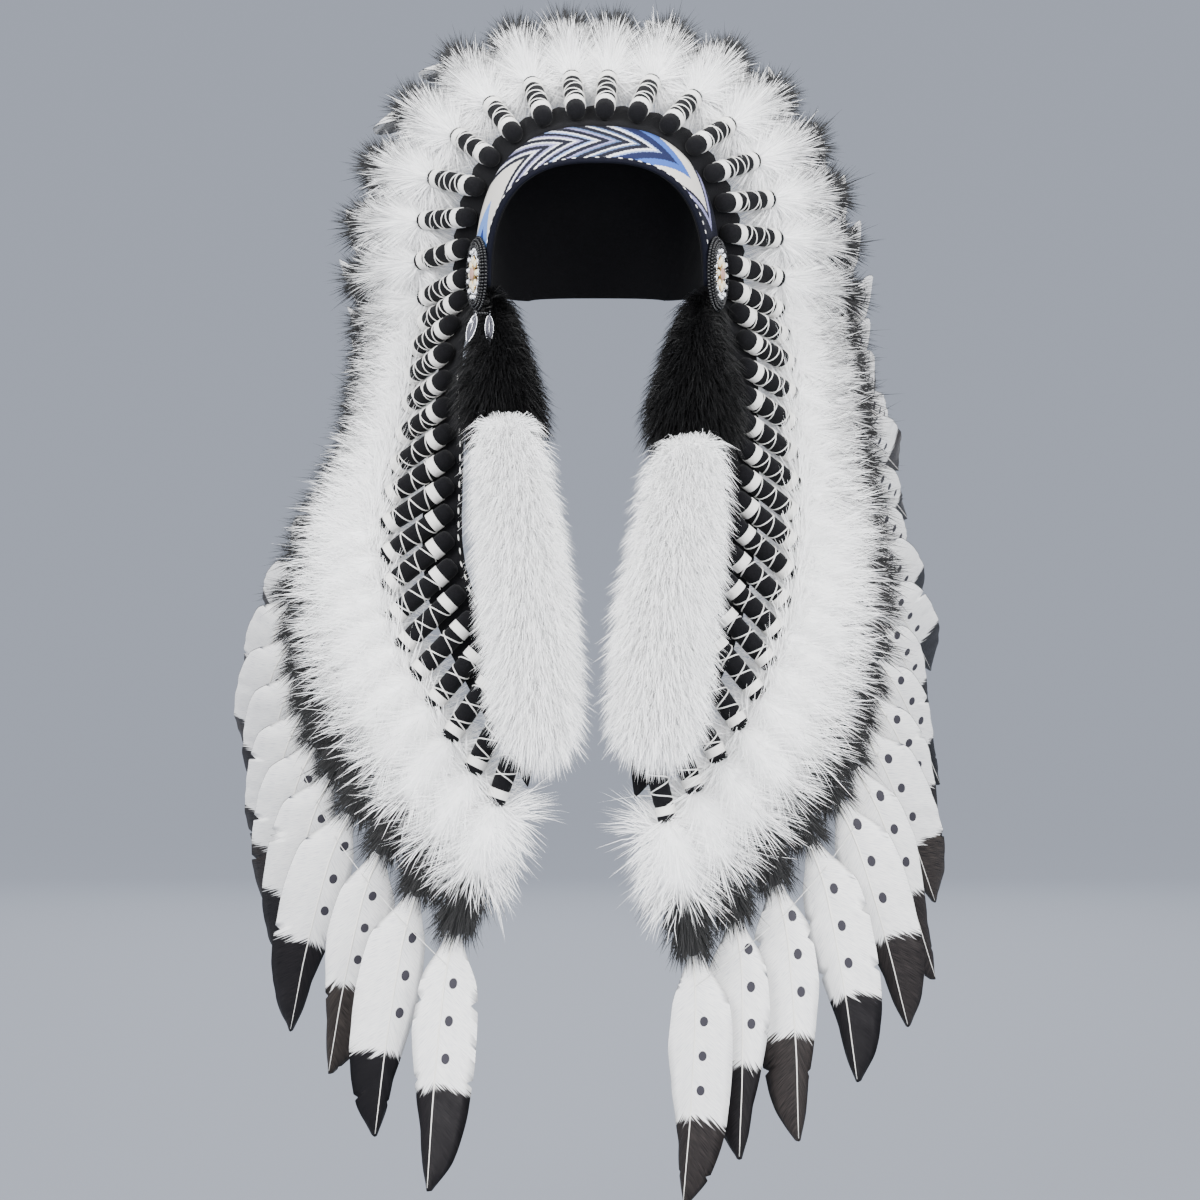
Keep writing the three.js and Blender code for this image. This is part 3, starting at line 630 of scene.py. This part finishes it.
# Painted sheen: noise patches lighten the dark tip to grey, turning to the feather's own brown the
# more it is aged.
tip_patch_noise = add(tree, "MapRange", {"Value": fine, 1: 0.35, 2: 0.7, 3: 0.0, 4: 1.0}).outputs[0]
tip_age_and_sheen = add(tree, "Attribute", {}, attribute_name="tip_age_and_sheen").outputs["Fac"]
pale = add(
    tree, "Mix", {0: tip_age_and_sheen, 6: linear(TIP_SHEEN_GREY), 7: linear(TIP_BROWN)}, data_type="RGBA"
).outputs[2]
sheen_and_brown_patches = add(tree, "Math", {0: tip_patch_noise, 1: tip_age_and_sheen}, operation="MULTIPLY").outputs[0]
tip_tint = add(tree, "Mix", {0: sheen_and_brown_patches, 6: linear(TIP_DARK), 7: pale}, data_type="RGBA").outputs[2]
painted = add(tree, "Mix", {0: tipped, 6: dotted, 7: tip_tint}, data_type="RGBA").outputs[2]
bump = add(tree, "Bump", {"Height": fine, "Strength": 0.5, "Distance": 0.0005}).outputs["Normal"]
gloss = add(tree, "MapRange", {"Value": tipped, 3: 0.65, 4: 0.42}).outputs[0]
tree.links.new(gloss, shader.inputs["Roughness"])
tree.links.new(painted, shader.inputs["Base Color"])
tree.links.new(bump, shader.inputs["Normal"])

# Quill: smooth horn, ivory white and a little glossy.
quill, tree, shader = finish("ivory quill", Base_Color=linear(QUILL), Roughness=0.4)


def feather_rings(node):
    """Centre and widest direction of each ring of a feather's solid, from its wrap's end."""
    bm = merged(node)
    bmesh.ops.dissolve_limit(bm, angle_limit=0.002, verts=[], edges=bm.edges)
    ends = [face for face in bm.faces if len(face.verts) == 8]
    start = max(ends, key=lambda face: face.calc_area())
    layer = list(start.verts)
    seen = set(layer)
    rings = []
    while layer:
        points = [vert.co.copy() for vert in layer]
        pairs = [(a - b) for a in points for b in points]
        rings.append((sum(points, Vector()) / len(points), max(pairs, key=lambda gap: gap.length)))
        found = {edge.other_vert(vert) for vert in layer for edge in vert.link_edges} - seen
        layer = sorted(found, key=lambda vert: vert.index)
        seen |= found
    bm.free()
    return rings


def smooth_line(knots, points, place):
    """A point at some distance on a smooth curve through points at their own distances."""
    last = len(knots) - 1
    lower = min(max(int(np.searchsorted(knots, place)) - 1, 0), last - 1)
    before, after = max(lower - 1, 0), min(lower + 2, last)
    width = knots[lower + 1] - knots[lower]
    share = (place - knots[lower]) / width
    leave = (points[lower + 1] - points[before]) / (knots[lower + 1] - knots[before]) * width
    arrive = (points[after] - points[lower]) / (knots[after] - knots[lower]) * width
    square, cube = share**2, share**3
    return (
        points[lower] * (2 * cube - 3 * square + 1)
        + points[lower + 1] * (3 * square - 2 * cube)
        + leave * (cube - 2 * square + share)
        + arrive * (cube - square)
    )


def hair_mesh(name, roots, starts, ends, lengths, tones, rng):
    """Thin tapered hairs as one mesh. Each bends from its start to its end direction."""
    count = len(roots)
    stations = np.array([0.0, 0.55, 1.0])
    taper = np.array([0.9, 0.8])
    t = stations[None, :, None]
    middles = roots[:, None] + lengths[:, None, None] * (
        t * starts[:, None] + t**2 / 2 * (ends - starts)[:, None]
    )
    facing = rng.normal(0, 0.7, (count, 3)) + np.array([0, -1, 0])
    sides = np.cross(starts, facing)
    sides /= np.linalg.norm(sides, axis=1, keepdims=True)
    flat = sides[:, None] * (FUR_WIDTH / 2 * taper)[None, :, None]
    points = np.empty((count, 5, 3))
    points[:, 0:4:2] = middles[:, :2] - flat
    points[:, 1:4:2] = middles[:, :2] + flat
    points[:, 4] = middles[:, 2]
    shape = [(0, 1, 3), (0, 3, 2), (2, 3, 4)]
    triangles = (np.arange(count)[:, None, None] * 5 + np.array(shape)[None]).reshape(-1, 3)
    mesh = bpy.data.meshes.new(name)
    mesh.vertices.add(count * 5)
    mesh.vertices.foreach_set("co", points.ravel())
    mesh.loops.add(triangles.size)
    mesh.loops.foreach_set("vertex_index", triangles.ravel())
    mesh.polygons.add(len(triangles))
    mesh.polygons.foreach_set("loop_start", np.arange(0, triangles.size, 3))
    mesh.update(calc_edges=True)
    mesh.attributes.new("tone", "FLOAT", "POINT").data.foreach_set("value", tones.ravel())
    return mesh


# Soft pad under the hairs: share of the fur's length passed, and radius
TUFT_CORE = [
    (0.0, 0.0040), (0.05, 0.0105), (0.16, 0.0165), (0.34, 0.0180), (0.52, 0.0165),
    (0.66, 0.0130), (0.82, 0.0110), (0.98, 0.0085), (1.1, 0.0030),
]  # fmt: skip


def tuft(bm, knots, centres, widths, wrap_end, fur_end, size, rng):
    """Fur round the quill: a white ball beyond the wrap, then a shorter black ring."""
    tone = bm.verts.layers.float["tone"]
    length = fur_end - wrap_end
    before = set(bm.faces)
    places = [wrap_end + share * length for share, _ in TUFT_CORE]
    line = [smooth_line(knots, centres, place) for place in places]
    tube(bm, line, [radius * size for _, radius in TUFT_CORE], 10)
    for face in set(bm.faces) - before:
        face.material_index = 2
        for vert in face.verts:
            nearest = min(range(len(line)), key=lambda index: (vert.co - line[index]).length)
            vert[tone] = 1.0 if TUFT_CORE[nearest][0] > WHITE_SHARE else 0.0
    count = FUR_COUNT
    late = rng.random(count) ** 0.9 * 1.04 - 0.03
    behind = rng.random(count) < BEHIND_SHARE
    late[behind] = rng.uniform(0, 0.12, behind.sum())
    places = wrap_end + late * length
    samples = np.linspace(wrap_end - 0.01, fur_end + 0.04, 24)
    line = np.array([smooth_line(knots, centres, place) for place in samples])
    steps = np.gradient(line, axis=0)
    steps /= np.linalg.norm(steps, axis=1, keepdims=True)
    base = np.stack([np.interp(places, samples, line[:, axis]) for axis in range(3)], 1)
    ahead = np.stack([np.interp(places, samples, steps[:, axis]) for axis in range(3)], 1)
    side = np.array(widths[4].normalized())
    side = side - ahead * (ahead @ side)[:, None]
    side /= np.linalg.norm(side, axis=1, keepdims=True)
    deep = np.cross(ahead, side)
    angle = rng.random(count) * math.tau
    radial = side * np.cos(angle)[:, None] + deep * np.sin(angle)[:, None]
    radial[behind & (radial[:, 1] < 0)] *= -1
    dark = late + rng.normal(0, 0.035, count) > WHITE_SHARE
    swept = ahead[:, 1] > 0.5
    lift = np.where(dark, np.where(swept, 16, 38) + 26 * late, 6 + 40 * late)
    lift[behind] = rng.uniform(-66, -18, behind.sum())
    rise = np.radians(lift + rng.normal(0, 9, count))
    starts = radial * np.cos(rise)[:, None] + ahead * np.sin(rise)[:, None]
    rise = rise + np.radians(np.where(dark, 12, 26))
    ends = radial * np.cos(rise)[:, None] + ahead * np.sin(rise)[:, None]
    ends += rng.normal(0, 0.14, (count, 3))
    lengths = size * np.where(dark, BLACK_HAIR, WHITE_HAIR) * rng.uniform(0.7, 1.2, count)
    lengths[rng.random(count) < 0.05] *= 1.3
    lengths[(dark & swept) | behind] *= LONG_HAIR
    core = np.interp(late, *zip(*TUFT_CORE)) * 0.85 * size
    tones = np.where(dark, 1.0, 0.0)[:, None] * np.ones(5)
    outward = np.array(centres[4] - RUFF_MIDDLE) * (1, 0, 1)
    outward /= np.linalg.norm(outward)
    rim = swept & (radial @ outward > 0.3) & (late > 0.12)
    speckled = ~dark & (rng.random(count) < np.where(rim, 0.8, 0.25 * (late > 0.34)))
    tones[speckled] = (0.0, 0.0, 0.3, 0.3, 2.0)
    return hair_mesh("hairs", base + radial * core[:, None], starts, ends, lengths, tones, rng)


def vane_mesh(bm, knots, centres, widths, begin, end, chance):
    """The flat blade with its quill: a grid whose rows follow the barbs."""
    layer = bm.loops.layers.uv.new("blade")
    barb = bm.verts.layers.float.new("barb")
    dark = bm.verts.layers.float.new("dark")
    tip_age_and_sheen = bm.verts.layers.float.new("tip_age_and_sheen")
    bm.verts.layers.float.new("tone")
    # How aged the feather is: it browns the tip and strengthens the painted sheen patches on it.
    tip_age_and_sheen_share = chance.random()
    grid = bmesh.ops.create_grid(bm, x_segments=VANE_COLUMNS, y_segments=VANE_ROWS, size=1)
    made = grid["verts"]
    length = end - begin
    half_width = [gap / 2 for gap in widths]
    splits = [chance.random() for _ in range(2)]
    tip_start = begin + length * (TIP_SHARE + chance.uniform(-0.04, 0.04))
    spacing = DOT_SPACING * chance.uniform(0.9, 1.08)
    first_dot = tip_start - 0.02 - 2 * spacing - chance.uniform(0, 0.01)
    narrow = chance.choice((-1, 1))
    data = {}
    for vert in made:
        across = vert.co.x
        row = begin + (vert.co.y + 1) / 2 * length
        gap = smooth_line(knots, half_width, row)
        out = BARB_SLANT * gap.length * abs(across)
        place = min(row + out, end)
        gap = smooth_line(knots, half_width, place)
        centre = smooth_line(knots, centres, place)
        ahead = (centre - smooth_line(knots, centres, place - 0.004)).normalized()
        normal = ahead.cross(gap).normalized()
        share = (row - begin) / length
        slimmer = min(max((share - 0.3) / 0.35, 0), 1) * 0.4
        wide = across * (0.78 - slimmer if across * narrow > 0 else 1.1)
        wobble = noise.noise(Vector((row * 70, across * 0.7, splits[0] * 50)))
        for split in splits:
            near = abs(share - 0.15 - 0.8 * split)
            if near < 0.006 and abs(across) > 0.5:
                wide *= 0.95 - 0.35 * (abs(across) - 0.5)
        spread = gap * wide * (1 + 0.015 * wobble * abs(across))
        curl = -VANE_CURL * across**2 + VANE_RIPPLE * wobble * abs(across)
        vert.co = centre + spread + normal * curl
        vert[barb] = row * 1000
        vert[dark] = (0.8 * place + 0.2 * row - tip_start) * 1000
        vert[tip_age_and_sheen] = tip_age_and_sheen_share
        data[vert] = (wide * gap.length * 1000, (place - first_dot) / spacing)
    faces = {face for vert in made for face in vert.link_faces}
    for face in faces:
        for loop in face.loops:
            loop[layer].uv = data[loop.vert]
    back = bmesh.ops.solidify(bm, geom=list(faces), thickness=VANE_THICK)["geom"]
    for item in list(faces) + back:
        if isinstance(item, bmesh.types.BMFace):
            item.material_index = 3
    places = np.linspace(begin - 0.02, end - 0.002, 20)
    line = [smooth_line(knots, centres, place) for place in places]
    radii = [QUILL_RADIUS * (1 - 0.7 * step / 19) for step in range(20)]
    before = set(bm.faces)
    tube(bm, line, radii, 6)
    for face in set(bm.faces) - before:
        face.material_index = 4


names = sorted(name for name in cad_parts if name.startswith("feather_"))
feather_feet = {}
tie_points = {}
for number, node in enumerate(names):
    rng = np.random.default_rng(400 + number)
    chance = random.Random(900 + number)
    rings = feather_rings(node)
    centres = [centre for centre, _ in rings]
    widths = [gap for _, gap in rings]
    ahead = (centres[8] - centres[7]).normalized()
    if ahead.cross(widths[8]).y > 0:
        widths[8] = -widths[8]
    for index in range(7, -1, -1):
        if widths[index].dot(widths[index + 1]) < 0:
            widths[index] = -widths[index]
    for index in range(9, len(widths)):
        if widths[index].dot(widths[index - 1]) < 0:
            widths[index] = -widths[index]
    knots = np.cumsum([0] + [(b - a).length for a, b in zip(centres, centres[1:])])
    bm = bmesh.new()
    bm.from_mesh(wrap_mesh)
    axis = (centres[2] - centres[0]).normalized()
    turn = axis.to_track_quat("Z", "Y").to_matrix().to_4x4()
    spun = Matrix.Rotation(chance.uniform(0, math.tau), 4, "Z")
    scale = Matrix.Diagonal((1, 1, knots[2] / WRAP_LENGTH, 1))
    foot = Matrix.Translation(centres[0])
    bmesh.ops.transform(bm, matrix=foot @ turn @ spun @ scale, verts=bm.verts)
    vane_mesh(bm, knots, centres, widths, knots[6] - 0.014, knots[10], chance)
    size = float(np.interp(int(node[-2:]), (10, 22), (0.78, 1.0)))
    hairs = tuft(bm, knots, centres, widths, knots[2], knots[6] - 0.013, size, rng)
    hairs.polygons.foreach_set("material_index", [2] * len(hairs.polygons))
    bm.from_mesh(hairs)
    bpy.data.meshes.remove(hairs)
    feather_feet[node] = (centres[0], axis)
    tie_points[node] = smooth_line(knots, centres, knots[6] + TIE_PLACE) - Vector((0, 0.003, 0))
    plume = node.replace("feather", "plume")
    piece(bm, plume, [felt, thread, fur, vane, quill], "white_feather", node)


# Fur pieces. Long-haired pelt cut in panels: black beside the cheeks, and white in front of
# the trailers, where a few hairs keep black tips.
PANEL_HAIRS = 13000
DROP_HAIRS = 24000
PELT_BLACK = "#050506"


def pelt(node, name, slot, count, length, inset, fall, shade, material, seed):
    """A fur piece: a smaller smooth body with hairs that reach the solid's face."""
    rng = np.random.default_rng(seed)
    bm = merged(node)
    bmesh.ops.subdivide_edges(bm, edges=bm.edges, cuts=2, use_grid_fill=True)
    for _ in range(3):
        bmesh.ops.smooth_vert(
            bm, verts=bm.verts, factor=0.5, use_axis_x=True, use_axis_y=True, use_axis_z=True
        )
    bm.normal_update()
    for vert, normal in [(vert, vert.normal.copy()) for vert in bm.verts]:
        vert.co -= normal * inset
    bmesh.ops.triangulate(bm, faces=bm.faces)
    bm.normal_update()
    bm.verts.ensure_lookup_table()
    areas = np.array([face.calc_area() for face in bm.faces])
    picked = rng.choice(len(areas), count, p=areas / areas.sum())
    bm.faces.ensure_lookup_table()
    corners = np.array([[vert.co[:] for vert in face.verts] for face in bm.faces])
    normals = np.array([face.normal[:] for face in bm.faces])
    mix = rng.dirichlet((1, 1, 1), count)
    roots = (corners[picked] * mix[:, :, None]).sum(1)
    out = normals[picked] + rng.normal(0, 0.22, (count, 3))
    starts = out + np.array([0, 0, -fall])
    starts /= np.linalg.norm(starts, axis=1, keepdims=True)
    ends = out * 0.55 + np.array([0, 0, -fall - 0.75]) + rng.normal(0, 0.12, (count, 3))
    ends /= np.linalg.norm(ends, axis=1, keepdims=True)
    lengths = length * rng.uniform(0.65, 1.15, count)
    spotted = rng.random(count) < shade

    tones = spotted[:, None] * np.array([0, 0, 0.5, 0.5, 1.0])[None]
    bm.verts.layers.float.new("tone")
    hairs = hair_mesh("hairs", roots, starts, ends, lengths, tones, rng)
    bm.from_mesh(hairs)
    bpy.data.meshes.remove(hairs)
    piece(bm, name, [material], slot, node)


# Black fur: glossy guard hairs that catch thin highlights.
black_fur, tree, shader = finish(
    "black fur", Base_Color=linear(PELT_BLACK), Roughness=0.5, Specular_IOR_Level=0.3
)
for seed, side in ((11, "left"), (12, "right")):
    pelt(
        "cheek_fur_" + side, "cheek_pelt_" + side, "black_fur", PANEL_HAIRS,
        length=0.028, inset=0.004, fall=0.5, shade=0, material=black_fur, seed=seed,
    )  # fmt: skip
for seed, side in ((13, "left"), (14, "right")):
    pelt(
        "fur_drop_" + side, "white_pelt_" + side, "white_fur", DROP_HAIRS,
        length=0.027, inset=0.011, fall=0.35, shade=0.05, material=fur, seed=seed,
    )  # fmt: skip


# Stitches and ties. White running stitches hold the felt strip's inner edge on the trailers,
# and a nylon thread ties each hanging vane to the next one.
FIRST_STITCHED = 11
FIRST_TIED = 17
WRAP_LIFT = 0.0075
EDGE_INSET = 0.003
RUNNING_STITCH = 0.0055
RUNNING_RADIUS = 0.0006
TIE_RADIUS = 0.0003
stitches = bmesh.new()
ties = bmesh.new()
for side, half in ((-1, "feather_left_"), (1, "feather_right_")):
    row = [node for node in names if node.startswith(half)]
    for here, there in zip(row[FIRST_STITCHED:], row[FIRST_STITCHED + 1 :]):
        (near, axis), (far, far_axis) = feather_feet[here], feather_feet[there]
        run = (far - near).normalized() * side
        away = run.cross(axis).normalized()
        for share in (0.0, 0.5):
            foot = near.lerp(far, share) - away * (WRAP_LIFT - 0.0004) - axis * EDGE_INSET
            half_stitch = run * RUNNING_STITCH / 2
            stitch(stitches, foot - half_stitch, foot + half_stitch, RUNNING_RADIUS)
    for here, there in zip(row[FIRST_TIED:], row[FIRST_TIED + 1 :]):
        tube(ties, [tie_points[here], tie_points[there]], [TIE_RADIUS] * 2, 5)
piece(stitches, "strip_stitches", [thread], "black_felt")
piece(ties, "vane_ties", [thread], "white_feather")


# Rosettes. A felt disc over each ear, edged with rows of black seed beads round square
# rhinestones in silver settings, with cream stones in gilt rims round a pinkish one.
BEAD_ROWS = [(0.0272, 0.0014), (0.0254, 0.0032), (0.0231, 0.0042), (0.0208, 0.0044)]
BEAD_RADIUS = 0.00125
STONE_COUNT = 13
STONE_RING = 0.0176
PETAL_COUNT = 8
PETAL_RING = 0.0100
# Each stone's setting and its cut top: height, half widths at foot and top, depth and finish
STONE_PARTS = [(0.0040, 0.0027, 0.0024, 0.0014, 2), (0.0053, 0.0022, 0.0011, 0.0012, 3)]
# Gilt rims and polished stones: ring, height, radius, shape, sides, rings, finish and number
CABOCHONS = [
    (PETAL_RING, 0.0041, 0.0038, (1.0, 0.84, 0.28), 16, 6, 4, PETAL_COUNT),
    (PETAL_RING, 0.0047, 0.0032, (1.0, 0.8, 0.5), 16, 8, 5, PETAL_COUNT),
    (0, 0.0046, 0.0060, (1, 1, 0.25), 24, 8, 4, 1),
    (0, 0.0052, 0.0048, (1, 1, 0.5), 24, 10, 6, 1),
]
GRAIN_RING = 0.0146
GRAIN_RADIUS = 0.00085
GRAIN_COUNT = 46
CREAM_CLOUD = "#d9c9a2"
CREAM_CLEAR = "#f6efdc"
CREAM_CLOUD_SIZE = 2.4
PINK_CLOUD = "#8f6a5f"
PINK_CLEAR = "#c9a396"
PINK_CLOUD_SIZE = 2.0
WEAR_SIZE = 1.4
# The disc of felt under the beads, as radius and height
DISC_PROFILE = [(0.0, 0.0002), (0.0266, 0.0002), (0.0274, 0.0012), (0.0262, 0.0024), (0.0, 0.0034)]

# Glass seed beads: opaque black glass, fire polished, so each one holds a small highlight.
jet_glass, tree, shader = finish(
    "black seed bead glass", Base_Color=linear("#08080b"), Roughness=0.12
)
# Rhinestones: foil-backed cut glass, bright white with sharp reflections.
rhinestone, tree, shader = finish(
    "foil backed rhinestone", Base_Color=linear("#f3f5fa"), Roughness=0.06
)
# Cabochons: polished cream resin with faint clouds.
cream_stone = mottled(
    "cream resin cabochon", CREAM_CLOUD, CREAM_CLEAR, CREAM_CLOUD_SIZE, 3.0, Roughness=0.18
)
pink_stone = mottled(
    "pinkish resin cabochon", PINK_CLOUD, PINK_CLEAR, PINK_CLOUD_SIZE, 3.0, Roughness=0.2
)


def plated(name, code, roughness):
    """Plated base metal: smooth, with faint wear that shows as patches in its gloss."""
    made, tree, shader = finish(name, Base_Color=linear(code), Metallic=1.0)
    place = add(tree, "TexCoord", {}).outputs["Object"]
    worn = add(
        tree, "TexNoise", {"Vector": place, "Scale": 1000 / WEAR_SIZE, "Detail": 4.0}
    ).outputs["Fac"]
    ends = {"Value": worn, 3: roughness * 0.7, 4: roughness * 1.3}
    gloss = add(tree, "MapRange", ends).outputs[0]
    tree.links.new(gloss, shader.inputs["Roughness"])
    return made


bright_silver = plated("silver plate", "#d6d6da", 0.2)
gilt = plated("gilt plate", "#d0ad6a", 0.25)
dark_silver = plated("darkened silver plate", "#45454b", 0.45)


def rosette_axes(node):
    """The middle of a rosette's back, with X across it, Y up and Z outwards."""
    bm = merged(node)
    poles = [vert.co.copy() for vert in bm.verts if len(vert.link_edges) >= 12]
    back, front = sorted(poles, key=lambda point: abs(point.x))
    bm.free()
    out = (front - back).normalized()
    up = (Vector((0, 0, 1)) - out * out.z).normalized()
    return Matrix.Translation(back) @ Matrix((up.cross(out), up, out)).transposed().to_4x4()


def set_finish(bm, before, index, count=1):
    """Finish what was made since a number of faces, and repeat it round the middle."""
    bm.faces.ensure_lookup_table()
    fresh = bm.faces[before:]
    for face in fresh:
        face.material_index = index
    if count > 1:
        verts = {vert for face in fresh for vert in face.verts}
        edges = {edge for face in fresh for edge in face.edges}
        bmesh.ops.spin(
            bm,
            geom=[*verts, *edges, *fresh],
            cent=(0, 0, 0),
            axis=(0, 0, 1),
            angle=math.tau * (count - 1) / count,
            steps=count - 1,
            use_duplicate=True,
        )


def bead(bm, place, radius, flat=(1, 1, 1), sides=6, rings=4):
    """A round or flattened bead about a local place."""
    size = Matrix.Diagonal((radius * flat[0], radius * flat[1], radius * flat[2], 1))
    bmesh.ops.create_uvsphere(
        bm, u_segments=sides, v_segments=rings, radius=1, matrix=Matrix.Translation(place) @ size
    )


def cut_stone(bm, place, foot, top, depth):
    """A square block with sloping sides, cornerwise to the ring."""
    matrix = Matrix.Translation(place) @ Matrix.Rotation(math.pi / 4, 4, "Z")
    bmesh.ops.create_cone(
        bm, cap_ends=True, segments=4, radius1=foot, radius2=top, depth=depth, matrix=matrix
    )


for side in ("left", "right"):
    bm = bmesh.new()
    wound(bm, DISC_PROFILE, 0, 40)
    bmesh.ops.remove_doubles(bm, verts=bm.verts, dist=0.00002)
    for radius, height in BEAD_ROWS:
        before = len(bm.faces)
        bead(bm, (radius, 0, height), BEAD_RADIUS)
        set_finish(bm, before, 1, int(math.tau * radius / (2.06 * BEAD_RADIUS)))
    for height, foot, top, depth, index in STONE_PARTS:
        before = len(bm.faces)
        cut_stone(bm, (STONE_RING, 0, height), foot, top, depth)
        set_finish(bm, before, index, STONE_COUNT)
    before = len(bm.faces)
    bead(bm, (GRAIN_RING, 0, 0.0043), GRAIN_RADIUS)
    set_finish(bm, before, 2, GRAIN_COUNT)
    for ring, height, radius, flat, sides, rings, index, count in CABOCHONS:
        before = len(bm.faces)
        bead(bm, (ring, 0, height), radius, flat, sides, rings)
        set_finish(bm, before, index, count)
    node = "rosette_" + side
    bmesh.ops.transform(bm, matrix=rosette_axes(node), verts=bm.verts)
    finishes = [felt, jet_glass, bright_silver, rhinestone, gilt, cream_stone, pink_stone]
    piece(bm, "beaded_rosette_" + side, finishes, "bead_rosette", node)


# Metal drops. Two thin stamped silver leaves with raised rims, each under a dark bead, on one
# short thread of seed beads below the left rosette.
DROP_THREAD = 0.0005
LEAF_LENGTH = 0.0225
LEAF_HALF_WIDTH = 0.0031
LEAF_THICK = 0.0003
LEAF_RIDGE = 0.00025
LEAF_RIM = 0.00034
DROP_SPACING = 0.010
DROP_HEIGHT = -0.0306
DROP_OUT = 0.0024
DROP_FORWARD = 0.020
DROP_TURN = math.radians(72)
LEAF_TILT = math.radians(17)
bm = bmesh.new()
ends = [Vector((hand * DROP_SPACING / 2, DROP_HEIGHT, DROP_OUT)) for hand in (-1, 1)]
tube(bm, ends, [DROP_THREAD, DROP_THREAD], 6)
for number in range(5):
    bead(bm, ((number - 2) * 0.0019, DROP_HEIGHT, DROP_OUT), BEAD_RADIUS, sides=8, rings=6)
for across in (-DROP_SPACING / 2, DROP_SPACING / 2):
    bead(bm, (across, DROP_HEIGHT + 0.0010, DROP_OUT), 0.0017, sides=12, rings=8)
for across, tilt in ((-DROP_SPACING / 2, LEAF_TILT), (DROP_SPACING / 2, 0)):
    top = DROP_HEIGHT - 0.0006
    before = len(bm.faces)
    first_vert = len(bm.verts)
    bead(bm, (across, top, DROP_OUT), 0.0010, sides=10, rings=8)
    outline = []
    for share in np.linspace(0.03, 0.985, 14):
        half_width = LEAF_HALF_WIDTH * math.sin(math.pi * share**0.9) ** 0.8
        outline.append((half_width, top - share * LEAF_LENGTH))
    for hand in (-1, 1):
        edge = [Vector((across + hand * wide, height, DROP_OUT)) for wide, height in outline]
        tube(bm, edge, [LEAF_RIM] * len(edge), 6)
    tube(
        bm,
        [Vector((across, outline[0][1], DROP_OUT)), Vector((across, outline[-1][1], DROP_OUT))],
        [0.00026, 0.0002],
        6,
    )
    set_finish(bm, before, 1)
    before = len(bm.faces)
    plate = bmesh.ops.create_grid(bm, x_segments=8, y_segments=13, size=1)["verts"]
    for vert in plate:
        wide, height = outline[min(round((1 - vert.co.y) / 2 * 13), 13)]
        ridge = LEAF_RIDGE * abs(math.sin(vert.co.x * math.pi * 2))
        vert.co = Vector((across + vert.co.x * wide, height, DROP_OUT + ridge - 0.0002))
    faces = list({face for vert in plate for face in vert.link_faces})
    bmesh.ops.solidify(bm, geom=faces, thickness=LEAF_THICK)
    set_finish(bm, before, 2)
    bm.verts.ensure_lookup_table()
    hung = Matrix.Translation((across, top, DROP_OUT))
    swung = hung @ Matrix.Rotation(-tilt, 4, "Z") @ hung.inverted()
    bmesh.ops.transform(bm, matrix=swung, verts=bm.verts[first_vert:])
# The pair is turned to face forwards and hangs clear of the cheek fur
hung = Matrix.Translation((0, 0, DROP_OUT))
clear = Matrix.Translation((DROP_FORWARD, 0, 0))
facing = clear @ hung @ Matrix.Rotation(DROP_TURN, 4, "Y") @ hung.inverted()
bmesh.ops.transform(bm, matrix=rosette_axes("rosette_left") @ facing, verts=bm.verts)
bmesh.ops.recalc_face_normals(bm, faces=bm.faces)
finishes = [jet_glass, bright_silver, dark_silver]
piece(bm, "silver_leaf_drops", finishes, "silver_metal", "metal_drops_left")
